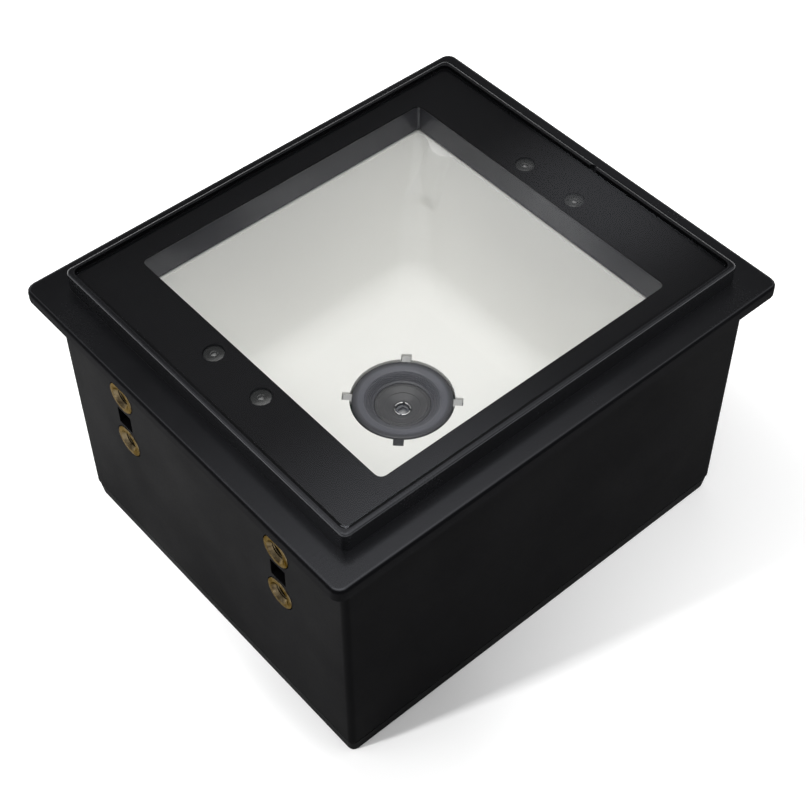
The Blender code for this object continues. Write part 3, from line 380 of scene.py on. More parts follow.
@dataclass(frozen=True)
class MouldedPlastic(Finish):
    """Spark-grained opaque moulding with a little wear on its edges.

    The walls of the window are painted a lighter grey, as painted light from the white tunnel that shines on
    them, and edges and the flange's outer rim are duller.
    """

    colour: Colour = (0.0026, 0.0026, 0.003)
    roughness: tuple[float, float] = (0.22, 0.28)
    cloud_size: float = 14.0
    shine: float = 0.5
    cast: Colour = (0.9, 0.92, 1.0)
    grain: float = 0.32
    grain_depth: float = 0.005
    worn: Colour = (0.007, 0.007, 0.0075)
    wear_size: float = 1.6
    edge_reach: float = 0.35
    edge_gain: float = 3.0
    edge_dullness: float = 0.4
    rim_roughness: float = 0.28
    rim_cast: Colour = (0.12, 0.12, 0.14)
    corner_centre: tuple[float, float] = (37.9, 32.5)
    rim_start: tuple[float, float] = (1.2, 1.4)
    # Lighter grey of the window walls: painted light from the white tunnel, not a colour of the moulding.
    wall: Colour = (0.0026, 0.0026, 0.003)
    wall_half: float = 25.9

    def rim(self, skin: Skin, sides: Sequence[bpy.types.NodeSocket]) -> bpy.types.NodeSocket:
        """Return 1 on the flange's outer rim, round its corners too, and 0 within it.

        Args:
            skin: Material that the nodes go to.
            sides: Distances from the middle along X and Y.

        Returns:
            The mask.
        """
        past = [
            skin.math("MAXIMUM", skin.math("SUBTRACT", side, centre * MM), 0.0)
            for side, centre in zip(sides, self.corner_centre)
        ]
        start, full = self.rim_start
        return skin.spread(skin.length(*past), (start * MM, full * MM), (0.0, 1.0))

    def build(self) -> bpy.types.Material:
        """Return the material of this finish."""
        skin = Skin(self.name)
        grain = skin.noise(self.grain, 3.0)
        pits = skin.cells(self.grain * 1.7)
        height = skin.math("ADD", skin.math("MULTIPLY", grain, 0.7), skin.math("MULTIPLY", pits, 0.3))
        clouds = skin.noise(self.cloud_size, 3.0)
        edge = skin.edges(self.edge_reach, self.edge_gain)
        rubbed = skin.spread(skin.noise(self.wear_size, 4.0), (0.35, 0.7), (0.25, 1.0))
        wear = skin.math("MULTIPLY", edge, rubbed)
        parts = skin.add("ShaderNodeSeparateXYZ", {0: skin.point})
        sides = [skin.math("ABSOLUTE", parts.outputs[number]) for number in (0, 1)]
        # Window walls, which get the painted light of the tunnel below them.
        inside = skin.math("LESS_THAN", skin.math("MAXIMUM", *sides), self.wall_half * MM)
        dull = skin.math("MAXIMUM", self.rim(skin, sides), skin.math("MULTIPLY", edge, self.edge_dullness))
        base = skin.vary(clouds, self.colour, 0.92, 1.1)
        base = skin.mix(skin.math("MULTIPLY", wear, 0.6), base, self.worn)
        base = skin.mix(inside, base, self.wall)
        cloudy = skin.math("ADD", clouds, skin.math("MULTIPLY", grain, 0.4))
        rough = skin.spread(cloudy, (0.5, 0.9), self.roughness)
        rough = skin.spread(dull, (0.0, 1.0), (rough, self.rim_roughness))
        return skin.surface(
            Base_Color=base, Roughness=rough, Normal=skin.relief(height, self.grain_depth),
            Specular_IOR_Level=self.shine, Specular_Tint=skin.mix(dull, self.cast, self.rim_cast),
        )


@dataclass(frozen=True)
class PrintedFilm(Finish):
    """Even black print on the back of the glass."""

    colour: Colour = (0.0055, 0.0055, 0.0062)

    def build(self) -> bpy.types.Material:
        """Return the material of this finish."""
        skin = Skin(self.name)
        base = skin.vary(skin.noise(3.0), self.colour, 1.0, 1.12)
        rough = skin.wander(6.0, 2.0, 0.5, 0.6)
        normal = skin.relief(skin.noise(1.5, 1.0), 0.001, 0.3)
        return skin.surface(Base_Color=base, Roughness=rough, Normal=normal, Specular_IOR_Level=0.06)


@dataclass(frozen=True)
class ThinGlass(Finish):
    """Clear plate that doesn't bend what lies below it, as the part's heights are seen ones."""

    tint: Colour = (0.985, 0.986, 0.982)
    shine: float = 0.04
    cast: tuple[float, float, float, float] = (0.9, 0.92, 1.0, 1.0)

    def build(self) -> bpy.types.Material:
        """Return the material of this finish."""
        skin = Skin(self.name)
        through = skin.add("ShaderNodeBsdfTransparent", {"Color": (*self.tint, 1.0)})
        film = skin.spread(skin.noise(9.0, 3.0), (0.35, 0.7), (0.03, 0.055))
        mirror = skin.add("ShaderNodeBsdfGlossy", {"Color": self.cast, "Roughness": film})
        slant = skin.math("POWER", skin.add("ShaderNodeLayerWeight", {"Blend": 0.5}).outputs["Facing"], 5.0)
        share = skin.spread(slant, (0.0, 1.0), (self.shine, 1.0))
        front = skin.math("SUBTRACT", 1.0, skin.add("ShaderNodeNewGeometry").outputs["Backfacing"])
        share = skin.math("MULTIPLY", share, front)
        mixed = skin.add("ShaderNodeMixShader", {0: share, 1: through.outputs[0], 2: mirror.outputs[0]})
        skin.show(mixed.outputs[0])
        return skin.material


@dataclass(frozen=True)
class WhiteMoulding(Finish):
    """Matt white moulding that scatters the light of the tunnel."""

    colour: Colour = (0.86, 0.858, 0.838)

    def build(self) -> bpy.types.Material:
        """Return the material of this finish."""
        skin = Skin(self.name)
        base = skin.vary(skin.noise(11.0, 3.0), self.colour, 0.97, 1.02)
        rough = skin.wander(2.4, 3.0, 0.5, 0.62)
        normal = skin.relief(skin.noise(0.4, 2.0), 0.01)
        return skin.surface(Base_Color=base, Roughness=rough, Normal=normal, Specular_IOR_Level=0.3)


@dataclass(frozen=True)
class InsertPattern:
    """Places of the four inserts in each end wall."""

    row_y: float = 17.35
    middle_z: float = 29.35
    pitch_z: float = 9.3


@dataclass(frozen=True)
class TurnedBrass(Finish):
    """Brass of the inserts with turning lines and a little tarnish."""

    colour: Colour = (0.105, 0.082, 0.048)
    tarnish: Colour = (0.024, 0.016, 0.009)
    edge: Colour = (0.5, 0.45, 0.38)
    line_pitch: float = 0.11
    pattern: InsertPattern = InsertPattern()

    def build(self) -> bpy.types.Material:
        """Return the material of this finish."""
        skin = Skin(self.name)
        distance = skin.axis_distance(self.pattern.row_y, self.pattern.middle_z, self.pattern.pitch_z)
        turning = skin.lines(distance, self.line_pitch)
        stain = skin.spread(skin.noise(0.9, 4.0), (0.42, 0.68), (0.0, 0.85))
        base = skin.mix(stain, self.colour, self.tarnish)
        rough = skin.wander(0.5, 3.0, 0.2, 0.36)
        normal = skin.relief(turning, 0.004, 0.7)
        return skin.surface(
            Base_Color=base, Metallic=1.0, Roughness=rough, Normal=normal, Specular_Tint=(*self.edge, 1.0)
        )


@dataclass(frozen=True)
class TurnedPlastic(Finish):
    """Dark grey moulding around the camera with fine rings. Its brightness is set by radius: a painted
    highlight band on the ring's crest and painted shade towards its outer edge.
    """

    colour: Colour = (0.098, 0.1, 0.118)
    roughness: float = 0.36
    pitch: float = 0.22
    depth: float = 0.003
    # Brightness by radius in millimetres: painted highlight near 6 mm, painted shade from 6.7 mm outwards.
    painted_light_bands: Profile = (
        (0.0, 0.55), (4.3, 0.55), (5.3, 0.55), (5.8, 1.1), (6.2, 1.55),
        (6.7, 0.75), (7.1, 0.4), (7.6, 0.16), (9.0, 0.12),
    )

    def build(self) -> bpy.types.Material:
        """Return the material of this finish."""
        skin = Skin(self.name)
        rings = skin.lines(skin.centre_distance(), self.pitch)
        grain = skin.noise(0.25, 3.0)
        # Painted light and shade by radius, with a little grain.
        painted_light_and_grain = skin.ramp(skin.centre_distance(), self.painted_light_bands, self.painted_light_bands[-1][0])
        painted_light_and_grain = skin.math("MULTIPLY", painted_light_and_grain, skin.spread(grain, (0.2, 0.8), (0.9, 1.1)))
        base = skin.mix(painted_light_and_grain, (0.0, 0.0, 0.0), self.colour)
        rough = skin.wander(1.8, 3.0, self.roughness - 0.05, self.roughness + 0.06)
        normal = skin.relief(grain, 0.004, 1.0, skin.relief(rings, self.depth))
        return skin.surface(Base_Color=base, Roughness=rough, Normal=normal, Specular_IOR_Level=0.45)


@dataclass(frozen=True)
class CoatedLens(Finish):
    """Small front lens: dark glass under a thin coloured coat."""

    colour: Colour = (0.05, 0.055, 0.07)
    middle: Colour = (0.012, 0.012, 0.018)
    reach: float = 1.1

    def build(self) -> bpy.types.Material:
        """Return the material of this finish."""
        skin = Skin(self.name)
        outwards = skin.spread(skin.centre_distance(), (0.0, self.reach * MM), (0.0, 1.0), True)
        base = skin.mix(outwards, self.middle, self.colour)
        rough = skin.wander(0.6, 2.0, 0.03, 0.06)
        return skin.surface(
            Base_Color=base, Roughness=rough, IOR=1.7, Coat_Weight=0.6, Coat_Roughness=0.03, Coat_IOR=1.9
        )


@dataclass(frozen=True)
class SmokedResin(Finish):
    """Smoked cast resin of the sensors and indicator lamps."""

    colour: Colour = (0.02, 0.021, 0.021)

    def build(self) -> bpy.types.Material:
        """Return the material of this finish."""
        skin = Skin(self.name)
        base = skin.vary(skin.noise(0.8, 3.0), self.colour, 0.8, 1.25)
        rough = skin.wander(0.5, 2.0, 0.12, 0.2)
        normal = skin.relief(skin.noise(0.3), 0.001)
        return skin.surface(
            Base_Color=base, Roughness=rough, Normal=normal, IOR=1.6, Coat_Weight=0.6, Coat_Roughness=0.08
        )


@dataclass(frozen=True)
class SolderMask(Finish):
    """Green board with copper lines below its solder mask."""

    colour: Colour = (0.008, 0.075, 0.035)
    line: Colour = (0.018, 0.13, 0.055)
    line_scale: float = 260.0
    line_width: float = 0.035

    def build(self) -> bpy.types.Material:
        """Return the material of this finish."""
        skin = Skin(self.name)
        inputs = {"Vector": skin.point, "Scale": self.line_scale, "Mortar Size": self.line_width}
        inputs |= {"Color1": NONE, "Color2": NONE, "Mortar": FULL}
        tracks = skin.add("ShaderNodeTexBrick", inputs).outputs["Color"]
        base = skin.mix(tracks, self.colour, self.line)
        rough = skin.wander(1.2, 2.0, 0.3, 0.42)
        normal = skin.relief(tracks, 0.02, 0.6)
        return skin.surface(
            Base_Color=base, Roughness=rough, Normal=normal, Coat_Weight=0.3, Coat_Roughness=0.2
        )


@dataclass(frozen=True)
class MouldedChip(Finish):
    """Matt moulded package of a chip or a connector."""

    colour: Colour = (0.014, 0.014, 0.015)
    rubbed: Colour = (0.05, 0.05, 0.05)

    def build(self) -> bpy.types.Material:
        """Return the material of this finish."""
        skin = Skin(self.name)
        grain = skin.noise(0.2, 3.0)
        base = skin.vary(grain, self.colour, 0.85, 1.3)
        base = skin.mix(skin.math("MULTIPLY", skin.edges(0.2), 0.3), base, self.rubbed)
        rough = skin.wander(1.5, 2.0, 0.5, 0.65)
        normal = skin.relief(grain, 0.008)
        return skin.surface(Base_Color=base, Roughness=rough, Normal=normal, Specular_IOR_Level=0.4)


@dataclass(frozen=True)
class LampPhosphor(Finish):
    """Yellowish phosphor of the white lamps in its pale package."""

    colour: Colour = (0.82, 0.74, 0.4)
    pale: Colour = (0.88, 0.84, 0.62)

    def build(self) -> bpy.types.Material:
        """Return the material of this finish."""
        skin = Skin(self.name)
        base = skin.mix(skin.noise(0.7, 3.0), self.colour, self.pale)
        rough = skin.wander(0.4, 2.0, 0.3, 0.45)
        return skin.surface(Base_Color=base, Roughness=rough, Normal=skin.relief(skin.noise(0.15), 0.006))


@dataclass(frozen=True)
class PlatedMetal(Finish):
    """Plated metal with fine scratches."""

    colour: Colour = (0.5, 0.5, 0.52)
    roughness: float = 0.3

    def build(self) -> bpy.types.Material:
        """Return the material of this finish."""
        skin = Skin(self.name)
        scratches = skin.noise(0.5, 4.0, (1.0, 6.0, 1.0))
        stain = skin.noise(1.4, 3.0)
        base = skin.vary(stain, self.colour, 0.8, 1.0)
        rough = skin.spread(scratches, NOISE_SPAN, (self.roughness - 0.08, self.roughness + 0.1))
        return skin.surface(
            Base_Color=base, Metallic=1.0, Roughness=rough, Normal=skin.relief(scratches, 0.004, 0.6)
        )


class Palette(Enum):
    """Finishes of the reader."""

    # Its window walls get a lighter grey: painted light from the white tunnel.
    BEZEL = MouldedPlastic("bezel_moulding", rim_roughness=1.0, wall=(0.044, 0.044, 0.05))
    BODY = MouldedPlastic(
        "body_moulding", colour=(0.0045, 0.0045, 0.005), roughness=(0.45, 0.55), rim_roughness=0.5,
        shine=0.01, grain=0.4, grain_depth=0.01,
    )
    PRINT = PrintedFilm("black_print")
    GLASS = ThinGlass("clear_plate")
    WHITE = WhiteMoulding("white_moulding")
    BRASS = TurnedBrass("turned_brass")
    # Its default bands paint a highlight and shade onto the ring by radius.
    GREY = TurnedPlastic("camera_grey")
    BARREL = TurnedPlastic(
        "barrel_grey", colour=(0.055, 0.055, 0.059), roughness=0.38, pitch=0.3, depth=0.002,
        painted_light_bands=((0.0, 1.0), (3.3, 1.0), (4.5, 1.0)),
    )
    # Pale grey of three camera lugs: painted light, though they are the ring's dark moulding.
    CATCH = TurnedPlastic(
        "painted_light_lug_grey", colour=(0.4, 0.4, 0.4), roughness=0.5, pitch=0.3, depth=0.001,
        painted_light_bands=((0.0, 1.0), (9.0, 1.0)),
    )
    RETAINER = PlatedMetal("retainer_steel", colour=(0.75, 0.75, 0.76), roughness=0.2)
    LENS = CoatedLens("coated_lens")
    RESIN = SmokedResin("smoked_resin")
    BOARD = SolderMask("solder_mask")
    CHIP = MouldedChip("chip_moulding")
    LAMP = LampPhosphor("lamp_phosphor")
    STEEL = PlatedMetal("plated_steel")
    GOLD = PlatedMetal("gold_plating", colour=(0.85, 0.6, 0.22), roughness=0.22)

    def material(self) -> bpy.types.Material:
        """Return the material, built the first time it is asked for."""
        return bpy.data.materials.get(self.value.name) or self.value.build()


# Modelling by hand


def arc(centre: tuple, reach: tuple, turn: tuple, count: int) -> list[tuple[float, float]]:
    """Return points on an arc of an outline.

    Args:
        centre: Radius and height of its middle in millimetres.
        reach: Half its width and half its height in millimetres.
        turn: First and last angle in degrees, 0 pointing outwards and 90 up.
        count: Number of points.

    Returns:
        Radius and height of each point.
    """
    first, last = turn
    angles = [math.radians(first + (last - first) * step / (count - 1)) for step in range(count)]
    return [(centre[0] + reach[0] * math.cos(a), centre[1] + reach[1] * math.sin(a)) for a in angles]


class Bench:
    """Short calls for the modelling operators."""

    @staticmethod
    def clear() -> None:
        """Leave edit mode and deselect every object."""
        if bpy.context.mode != "OBJECT":
            bpy.ops.object.mode_set(mode="OBJECT")
        bpy.ops.object.select_all(action="DESELECT")

    @staticmethod
    def turn(name: str, profile: Profile, segments: int, closed: bool = True) -> bpy.types.Object:
        """Turn a piece about +Z, ring by ring, from a circle.

        Args:
            name: Name of the piece.
            profile: Radius and height of each ring in millimetres.
            segments: Number of faces around.
            closed: Joins the last ring to the first; else both ends are filled.

        Returns:
            The object, its axis at the origin.
        """
        Bench.clear()
        radius, height = profile[0]
        bpy.ops.mesh.primitive_circle_add(vertices=segments, radius=radius * MM, fill_type="NOTHING")
        made = bpy.context.active_object
        made.name = name
        made.data.name = name
        bpy.ops.object.mode_set(mode="EDIT")
        bpy.ops.mesh.select_all(action="SELECT")
        bpy.ops.transform.translate(value=(0.0, 0.0, height * MM))
        if not closed:
            bpy.ops.mesh.edge_face_add()
            bpy.ops.mesh.delete(type="ONLY_FACE")
            bpy.ops.mesh.select_all(action="SELECT")
        rings = list(profile[1:]) + ([profile[0]] if closed else [])
        for next_radius, next_height in rings:
            rise = (next_height - height) * MM
            bpy.ops.mesh.extrude_region_move(TRANSFORM_OT_translate={"value": (0.0, 0.0, rise)})
            share = next_radius / radius
            bpy.ops.transform.resize(value=(share, share, 1.0), center_override=(0.0, 0.0, next_height * MM))
            radius, height = next_radius, next_height
        if not closed:
            bpy.ops.mesh.edge_face_add()
            Bench.select_rim(made, profile[0][1])
            bpy.ops.mesh.edge_face_add()
        Bench.seal()
        return made

    @staticmethod
    def seal() -> None:
        """Merge the doubles of the edited mesh, turn its faces outwards and leave edit mode."""
        bpy.ops.mesh.select_all(action="SELECT")
        bpy.ops.mesh.remove_doubles(threshold=MERGE)
        bpy.ops.mesh.normals_make_consistent(inside=False)
        bpy.ops.object.mode_set(mode="OBJECT")

    @staticmethod
    def select_rim(made: bpy.types.Object, height: float) -> None:
        """Select the open edges of the edited mesh at a height in millimetres."""
        bpy.ops.mesh.select_all(action="DESELECT")
        shape = bmesh.from_edit_mesh(made.data)
        for edge in shape.edges:
            level = all(abs(corner.co.z - height * MM) < MERGE for corner in edge.verts)
            edge.select = edge.is_boundary and level
        shape.select_flush(True)
        bmesh.update_edit_mesh(made.data)

    @staticmethod
    def place(made: bpy.types.Object, axis: Axis, at: tuple[float, float, float]) -> bpy.types.Object:
        """Turn a finished piece and move it to its place, in its mesh.

        Args:
            made: The piece, modelled about +Z at the origin.
            axis: Where its +Z points.
            at: Its place in millimetres.

        Returns:
            The same object.
        """
        made.data.transform(Matrix.Translation(Vector(at) * MM) @ axis.matrix())
        return made

    @staticmethod
    def copy(source: bpy.types.Object, name: str) -> bpy.types.Object:
        """Return a copy of the piece with a mesh of its own."""
        made = source.copy()
        made.data = source.data.copy()
        made.name = name
        made.data.name = name
        bpy.context.scene.collection.objects.link(made)
        return made

    @staticmethod
    def join(made: bpy.types.Object, parts: Sequence[bpy.types.Object]) -> bpy.types.Object:
        """Join parts into the first object and return it."""
        Bench.clear()
        for part in parts:
            part.select_set(True)
        bpy.context.view_layer.objects.active = made
        bpy.ops.object.join()
        return made

    @staticmethod
    def dress(made: bpy.types.Object, finish: Palette, angle: float = 32.0) -> bpy.types.Object:
        """Give a new piece its material and smooth round faces.

        Args:
            made: The piece.
            finish: Its finish.
            angle: Largest angle in degrees that is still smooth.

        Returns:
            The same object.
        """
        made.data.materials.clear()
        made.data.materials.append(finish.material())
        Bench.clear()
        made.select_set(True)
        bpy.context.view_layer.objects.active = made
        bpy.ops.object.shade_smooth_by_angle(angle=math.radians(angle))
        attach(made, Body.ROOT.value)
        return made


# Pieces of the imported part


@dataclass
class PackedNodes:
    """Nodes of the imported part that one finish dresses."""

    finish: Palette
    names: tuple[str, ...]
    smooth_angle: float = 38.0
    weld_gap: float = 0.002

    def dress(self) -> int:
        """Give the nodes their material and smooth round faces.

        Returns:
            The number of nodes.
        """
        for name in self.names:
            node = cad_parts[name]
            node.data.materials.clear()
            node.data.materials.append(self.finish.material())
            for face in node.data.polygons:
                face.use_smooth = True
            node.modifiers.new("weld", "WELD").merge_threshold = self.weld_gap * MM
            split = node.modifiers.new("split", "EDGE_SPLIT")
            split.split_angle = math.radians(self.smooth_angle)
            shading = node.modifiers.new("shading", "WEIGHTED_NORMAL")
            shading.keep_sharp = True
        return len(self.names)


def numbered(name: str, count: int) -> tuple[str, ...]:
    """Return the names of a row of pieces, counted from 1."""
    return tuple(f"{name}_{number}" for number in range(1, count + 1))


# New pieces


@dataclass
class ThreadedInserts:
    """Eight brass inserts with a chamfered head, a grooved body and an inner thread."""

    pattern: InsertPattern = InsertPattern()
    face_x: float = 36.6
    head_radius: float = 2.5
    head_height: float = 0.8
    lip: float = 0.12
    body_radius: float = 2.1
    length: float = 4.6
    bevel: float = 0.15
    groove_count: int = 2
    groove_start: float = 0.5
    groove_pitch: float = 1.5
    groove_length: float = 0.8
    groove_depth: float = 0.25
    bore_radius: float = 1.3
    bore_flare: float = 0.1
    chamfer: float = 0.52
    thread_depth: float = 0.16
    thread_pitch: float = 0.45
    thread_crest: float = 0.06
    thread_root: tuple[float, float] = (0.5, 0.6)
    segments: int = 72

    def groove(self, top: float) -> Profile:
        """Return the outline of one groove round the body, from its upper edge down."""
        floor, bottom = self.body_radius - self.groove_depth, top - self.groove_length
        return [
            (self.body_radius, top), (floor, top - self.bevel),
            (floor, bottom + self.bevel), (self.body_radius, bottom),
        ]

    def thread(self) -> Profile:
        """Return the outline of the inner thread, from the end up to the chamfer."""
        root = self.bore_radius + self.thread_depth
        outline = []
        height = -self.length + self.bevel
        while height + self.thread_root[1] * self.thread_pitch < -self.chamfer:
            outline += [(self.bore_radius, height), (self.bore_radius, height + self.thread_crest)]
            outline += [(root, height + self.thread_pitch * share) for share in self.thread_root]
            height += self.thread_pitch
        return outline

    def profile(self) -> Profile:
        """Return the outline of the insert, its face at height 0."""
        edge = self.head_radius - self.lip
        outline = [(self.bore_radius + self.chamfer, 0.0), (edge, 0.0)]
        outline += arc((edge, -self.lip), (self.lip, self.lip), (60.0, 0.0), 3)
        outline += [(self.head_radius, -self.head_height), (self.body_radius, -self.head_height)]
        for number in range(self.groove_count):
            outline += self.groove(-self.head_height - self.groove_start - number * self.groove_pitch)
        outline.append((self.body_radius, -self.length + self.bevel))
        outline.append((self.body_radius - self.bevel, -self.length))
        outline.append((self.bore_radius + self.bore_flare, -self.length))
        outline += self.thread()
        outline.append((self.bore_radius, -self.chamfer))
        return outline

    def build(self) -> int:
        """Model one insert and place its copies.

        Returns:
            The number of inserts.
        """
        source = Bench.turn("insert_source", self.profile(), self.segments)
        number = 0
        for axis, sign in ((Axis.LEFT, -1), (Axis.RIGHT, 1)):
            for side in (-1, 1):
                for rise in (-1, 1):
                    number += 1
                    made = Bench.copy(source, f"threaded_insert_{number}")
                    height = self.pattern.middle_z + rise * self.pattern.pitch_z / 2
                    Bench.place(made, axis, (sign * self.face_x, side * self.pattern.row_y, height))
                    Bench.dress(made, Palette.BRASS)
                    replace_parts(made, f"insert_{number}")
        bpy.data.objects.remove(source)
        return number


@dataclass
class LightTunnel:
    """White tub in fine rings, with two embossed screw columns and four screw ears.

    Its walls are drafted, and its corners grow softer downwards.
    """

    top: float = 42.4
    top_half: float = 25.1
    top_corner: float = 0.6
    corner: float = 5.0
    draft: float = 16.0
    fillet: float = 5.0
    floor: float = 21.2
    wall: float = 1.1
    rim_half: float = 26.4
    rim_bottom: float = 41.2
    skirt: float = 6.0
    opening: float = 7.9
    notch_reach: float = 9.05
    notch_width: float = 1.75
    notch_turn: float = 45.0
    column_y: float = 20.3
    column_radius: float = 2.4
    column_rise: float = 0.75
    column_bottom: float = 32.6
    column_taper: float = 3.0
    column_drop: float = 0.35
    post_x: float = 25.2
    post_radius: float = 2.2
    post_hole: float = 0.9
    post_bottom: float = 12.3
    post_top: float = 33.0
    ear_x: float = 30.0
    ear_y: float = 15.3
    ear_radius: float = 2.6
    ear_hole: float = 1.2
    ear_sink: float = 0.4
    side_steps: int = 96
    corner_steps: int = 12
    wall_steps: int = 40
    fillet_steps: int = 12
    outer_steps: int = 6
    round_steps: int = 32

    def wall_half(self, z: float) -> float:
        """Return the half width between the inner walls at a height."""
        return self.top_half - (self.top - z) * math.tan(math.radians(self.draft))

    def wall_corner(self, z: float) -> float:
        """Return the inner corner radius at a height."""
        share = (self.top - z) / (self.top - self.floor - self.fillet)
        return self.top_corner + (self.corner - self.top_corner) * min(share, 1.0)

    def ring(self, half: float, radius: float, z: float) -> list[Vector]:
        """Return one square ring with rounded corners.

        Args:
            half: Half width.
            radius: Corner radius.
            z: Height.

        Returns:
            Its points, the same number in each ring.
        """
        inner = half - radius
        shares = [2 * step / self.side_steps - 1 for step in range(self.side_steps)]
        side = [Vector((half, inner * share, z)) for share in shares]
        for step in range(self.corner_steps):
            turn = math.pi / 2 * step / self.corner_steps
            side.append(Vector((inner + radius * math.cos(turn), inner + radius * math.sin(turn), z)))
        quarters = [Matrix.Rotation(math.pi / 2 * number, 3, "Z") for number in range(4)]
        return [quarter @ point for quarter in quarters for point in side]

    def emboss(self, points: list[Vector]) -> list[Vector]:
        """Push the two screw columns out of the inner walls and sink their tops a little."""
        for point in points:
            across = abs(abs(point.y) - self.column_y) / self.column_radius
            on_end_wall = abs(point.x) >= abs(point.y) * 0.9
            if across >= 1.0 or point.x * point.y < 0.0 or not on_end_wall:
                continue
            height = min(max((point.z - self.column_bottom) / self.column_taper, 0.0), 1.0)
            rise = self.column_rise * math.sqrt(1.0 - across * across) * height * (2.0 - height)
            point.x -= math.copysign(rise, point.x)
            on_rim = self.top - point.z < 0.1
            if on_rim:
                point.z -= self.column_drop * (1.0 - across * across)
        return points

    def fillet_rings(self, offset: float, steps: int) -> list[list[Vector]]:
        """Return the rings of the sweep from wall to floor, moved outwards by an offset."""
        lean = math.radians(self.draft)
        centre_z = self.floor + self.fillet
        centre = self.wall_half(centre_z) - self.fillet / math.cos(lean)
        sweep = self.fillet + offset
        rings = []
        for step in range(steps + 1):
            turn = lean + (math.pi / 2 - lean) * step / steps
            half = centre + sweep * math.cos(turn)
            rings.append(self.ring(half, self.corner + offset, centre_z - sweep * math.sin(turn)))
        return rings

    def opening_ring(self, z: float) -> list[Vector]:
        """Return the ring of the camera opening with its four notches."""
        count = 4 * (self.side_steps + self.corner_steps)
        points = []
        for step in range(count):
            turn = 2 * math.pi * (step + self.corner_steps / 2) / count - math.pi / 4
            off = abs((math.degrees(turn) - self.notch_turn + 45.0) % 90.0 - 45.0)
            within = self.notch_reach * math.sin(math.radians(off)) < self.notch_width / 2
            radius = self.notch_reach if within else self.opening
            points.append(Vector((radius * math.cos(turn), radius * math.sin(turn), z)))
        return points

    def rings(self) -> list[list[Vector]]:
        """Return all rings, from the inner rim down, through the opening and up the outside."""
        base = self.floor + self.fillet
        rings = []
        for step in range(self.wall_steps):
            z = self.top - (self.top - base) * step / self.wall_steps
            rings.append(self.emboss(self.ring(self.wall_half(z), self.wall_corner(z), z)))
        rings += self.fillet_rings(0.0, self.fillet_steps)
        rings += [self.opening_ring(self.floor), self.opening_ring(self.floor - self.wall)]
        rings += self.fillet_rings(self.wall, self.outer_steps)[::-1]
        thickness = self.wall / math.cos(math.radians(self.draft))
        for z in (self.rim_bottom - self.skirt, self.rim_bottom):
            rings.append(self.ring(self.wall_half(z) + thickness, self.wall_corner(z) + thickness, z))
        rim_corner = self.top_corner + self.rim_half - self.top_half
        rings.append(self.ring(self.rim_half, rim_corner, self.rim_bottom))
        rings.append(self.ring(self.rim_half, rim_corner, self.top))
        return rings

    def tub(self) -> bpy.types.Object:
        """Join the rings into the tub, as no operator lofts between unlike rings.

        Returns:
            The tub.
        """
        shape = bmesh.new()
        rings = [[shape.verts.new(point * MM) for point in ring] for ring in self.rings()]
        for ring, following in zip(rings, rings[1:] + rings[:1]):
            for number, corner in enumerate(ring):
                before = number - 1
                shape.faces.new((ring[before], corner, following[number], following[before]))
        bmesh.ops.recalc_face_normals(shape, faces=shape.faces)
        mesh = bpy.data.meshes.new("light_tunnel")
        shape.to_mesh(mesh)
        shape.free()
        made = bpy.data.objects.new("light_tunnel", mesh)
        bpy.context.scene.collection.objects.link(made)
        return made

    def ear(self, sign_x: int, sign_y: int) -> bpy.types.Object:
        """Turn one screw ear with its hole and pull it to the rim.

        Args:
            sign_x: Side of the ear along X.
            sign_y: Side of the ear along Y.

        Returns:
            The ear.
        """
        outline = [(self.ear_hole, self.rim_bottom), (self.ear_radius, self.rim_bottom)]
        outline += [(self.ear_radius, self.top), (self.ear_hole, self.top)]
        made = Bench.turn("ear", outline, self.round_steps)
        reach = self.ear_x - self.rim_half - self.ear_radius + self.ear_sink
        for corner in made.data.vertices:
            if corner.co.x < -self.ear_radius / 2 * MM:
                corner.co.x -= reach * MM
        turn = Matrix.Rotation(0.0 if sign_x > 0 else math.pi, 4, "Z")
        place = Vector((sign_x * self.ear_x, sign_y * self.ear_y, 0.0)) * MM
        made.data.transform(Matrix.Translation(place) @ turn)
        return made

    def build(self) -> int:
        """Model the tub with its posts and ears as one piece.

        Returns:
            The number of pieces.
        """
        parts = [self.tub()]
        for sign in (-1, 1):
            outline = [(self.post_hole, self.post_bottom), (self.post_radius, self.post_bottom)]
            outline += [(self.post_radius, self.post_top), (self.post_hole, self.post_top)]
            post = Bench.turn("post", outline, self.round_steps)
            parts.append(Bench.place(post, Axis.UP, (sign * self.post_x, sign * self.column_y, 0.0)))
        parts += [self.ear(sign_x, sign_y) for sign_x in (-1, 1) for sign_y in (-1, 1)]
        made = Bench.join(parts[0], parts)
        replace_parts(Bench.dress(made, Palette.WHITE, 40.0), "light_reflector")
        return 1


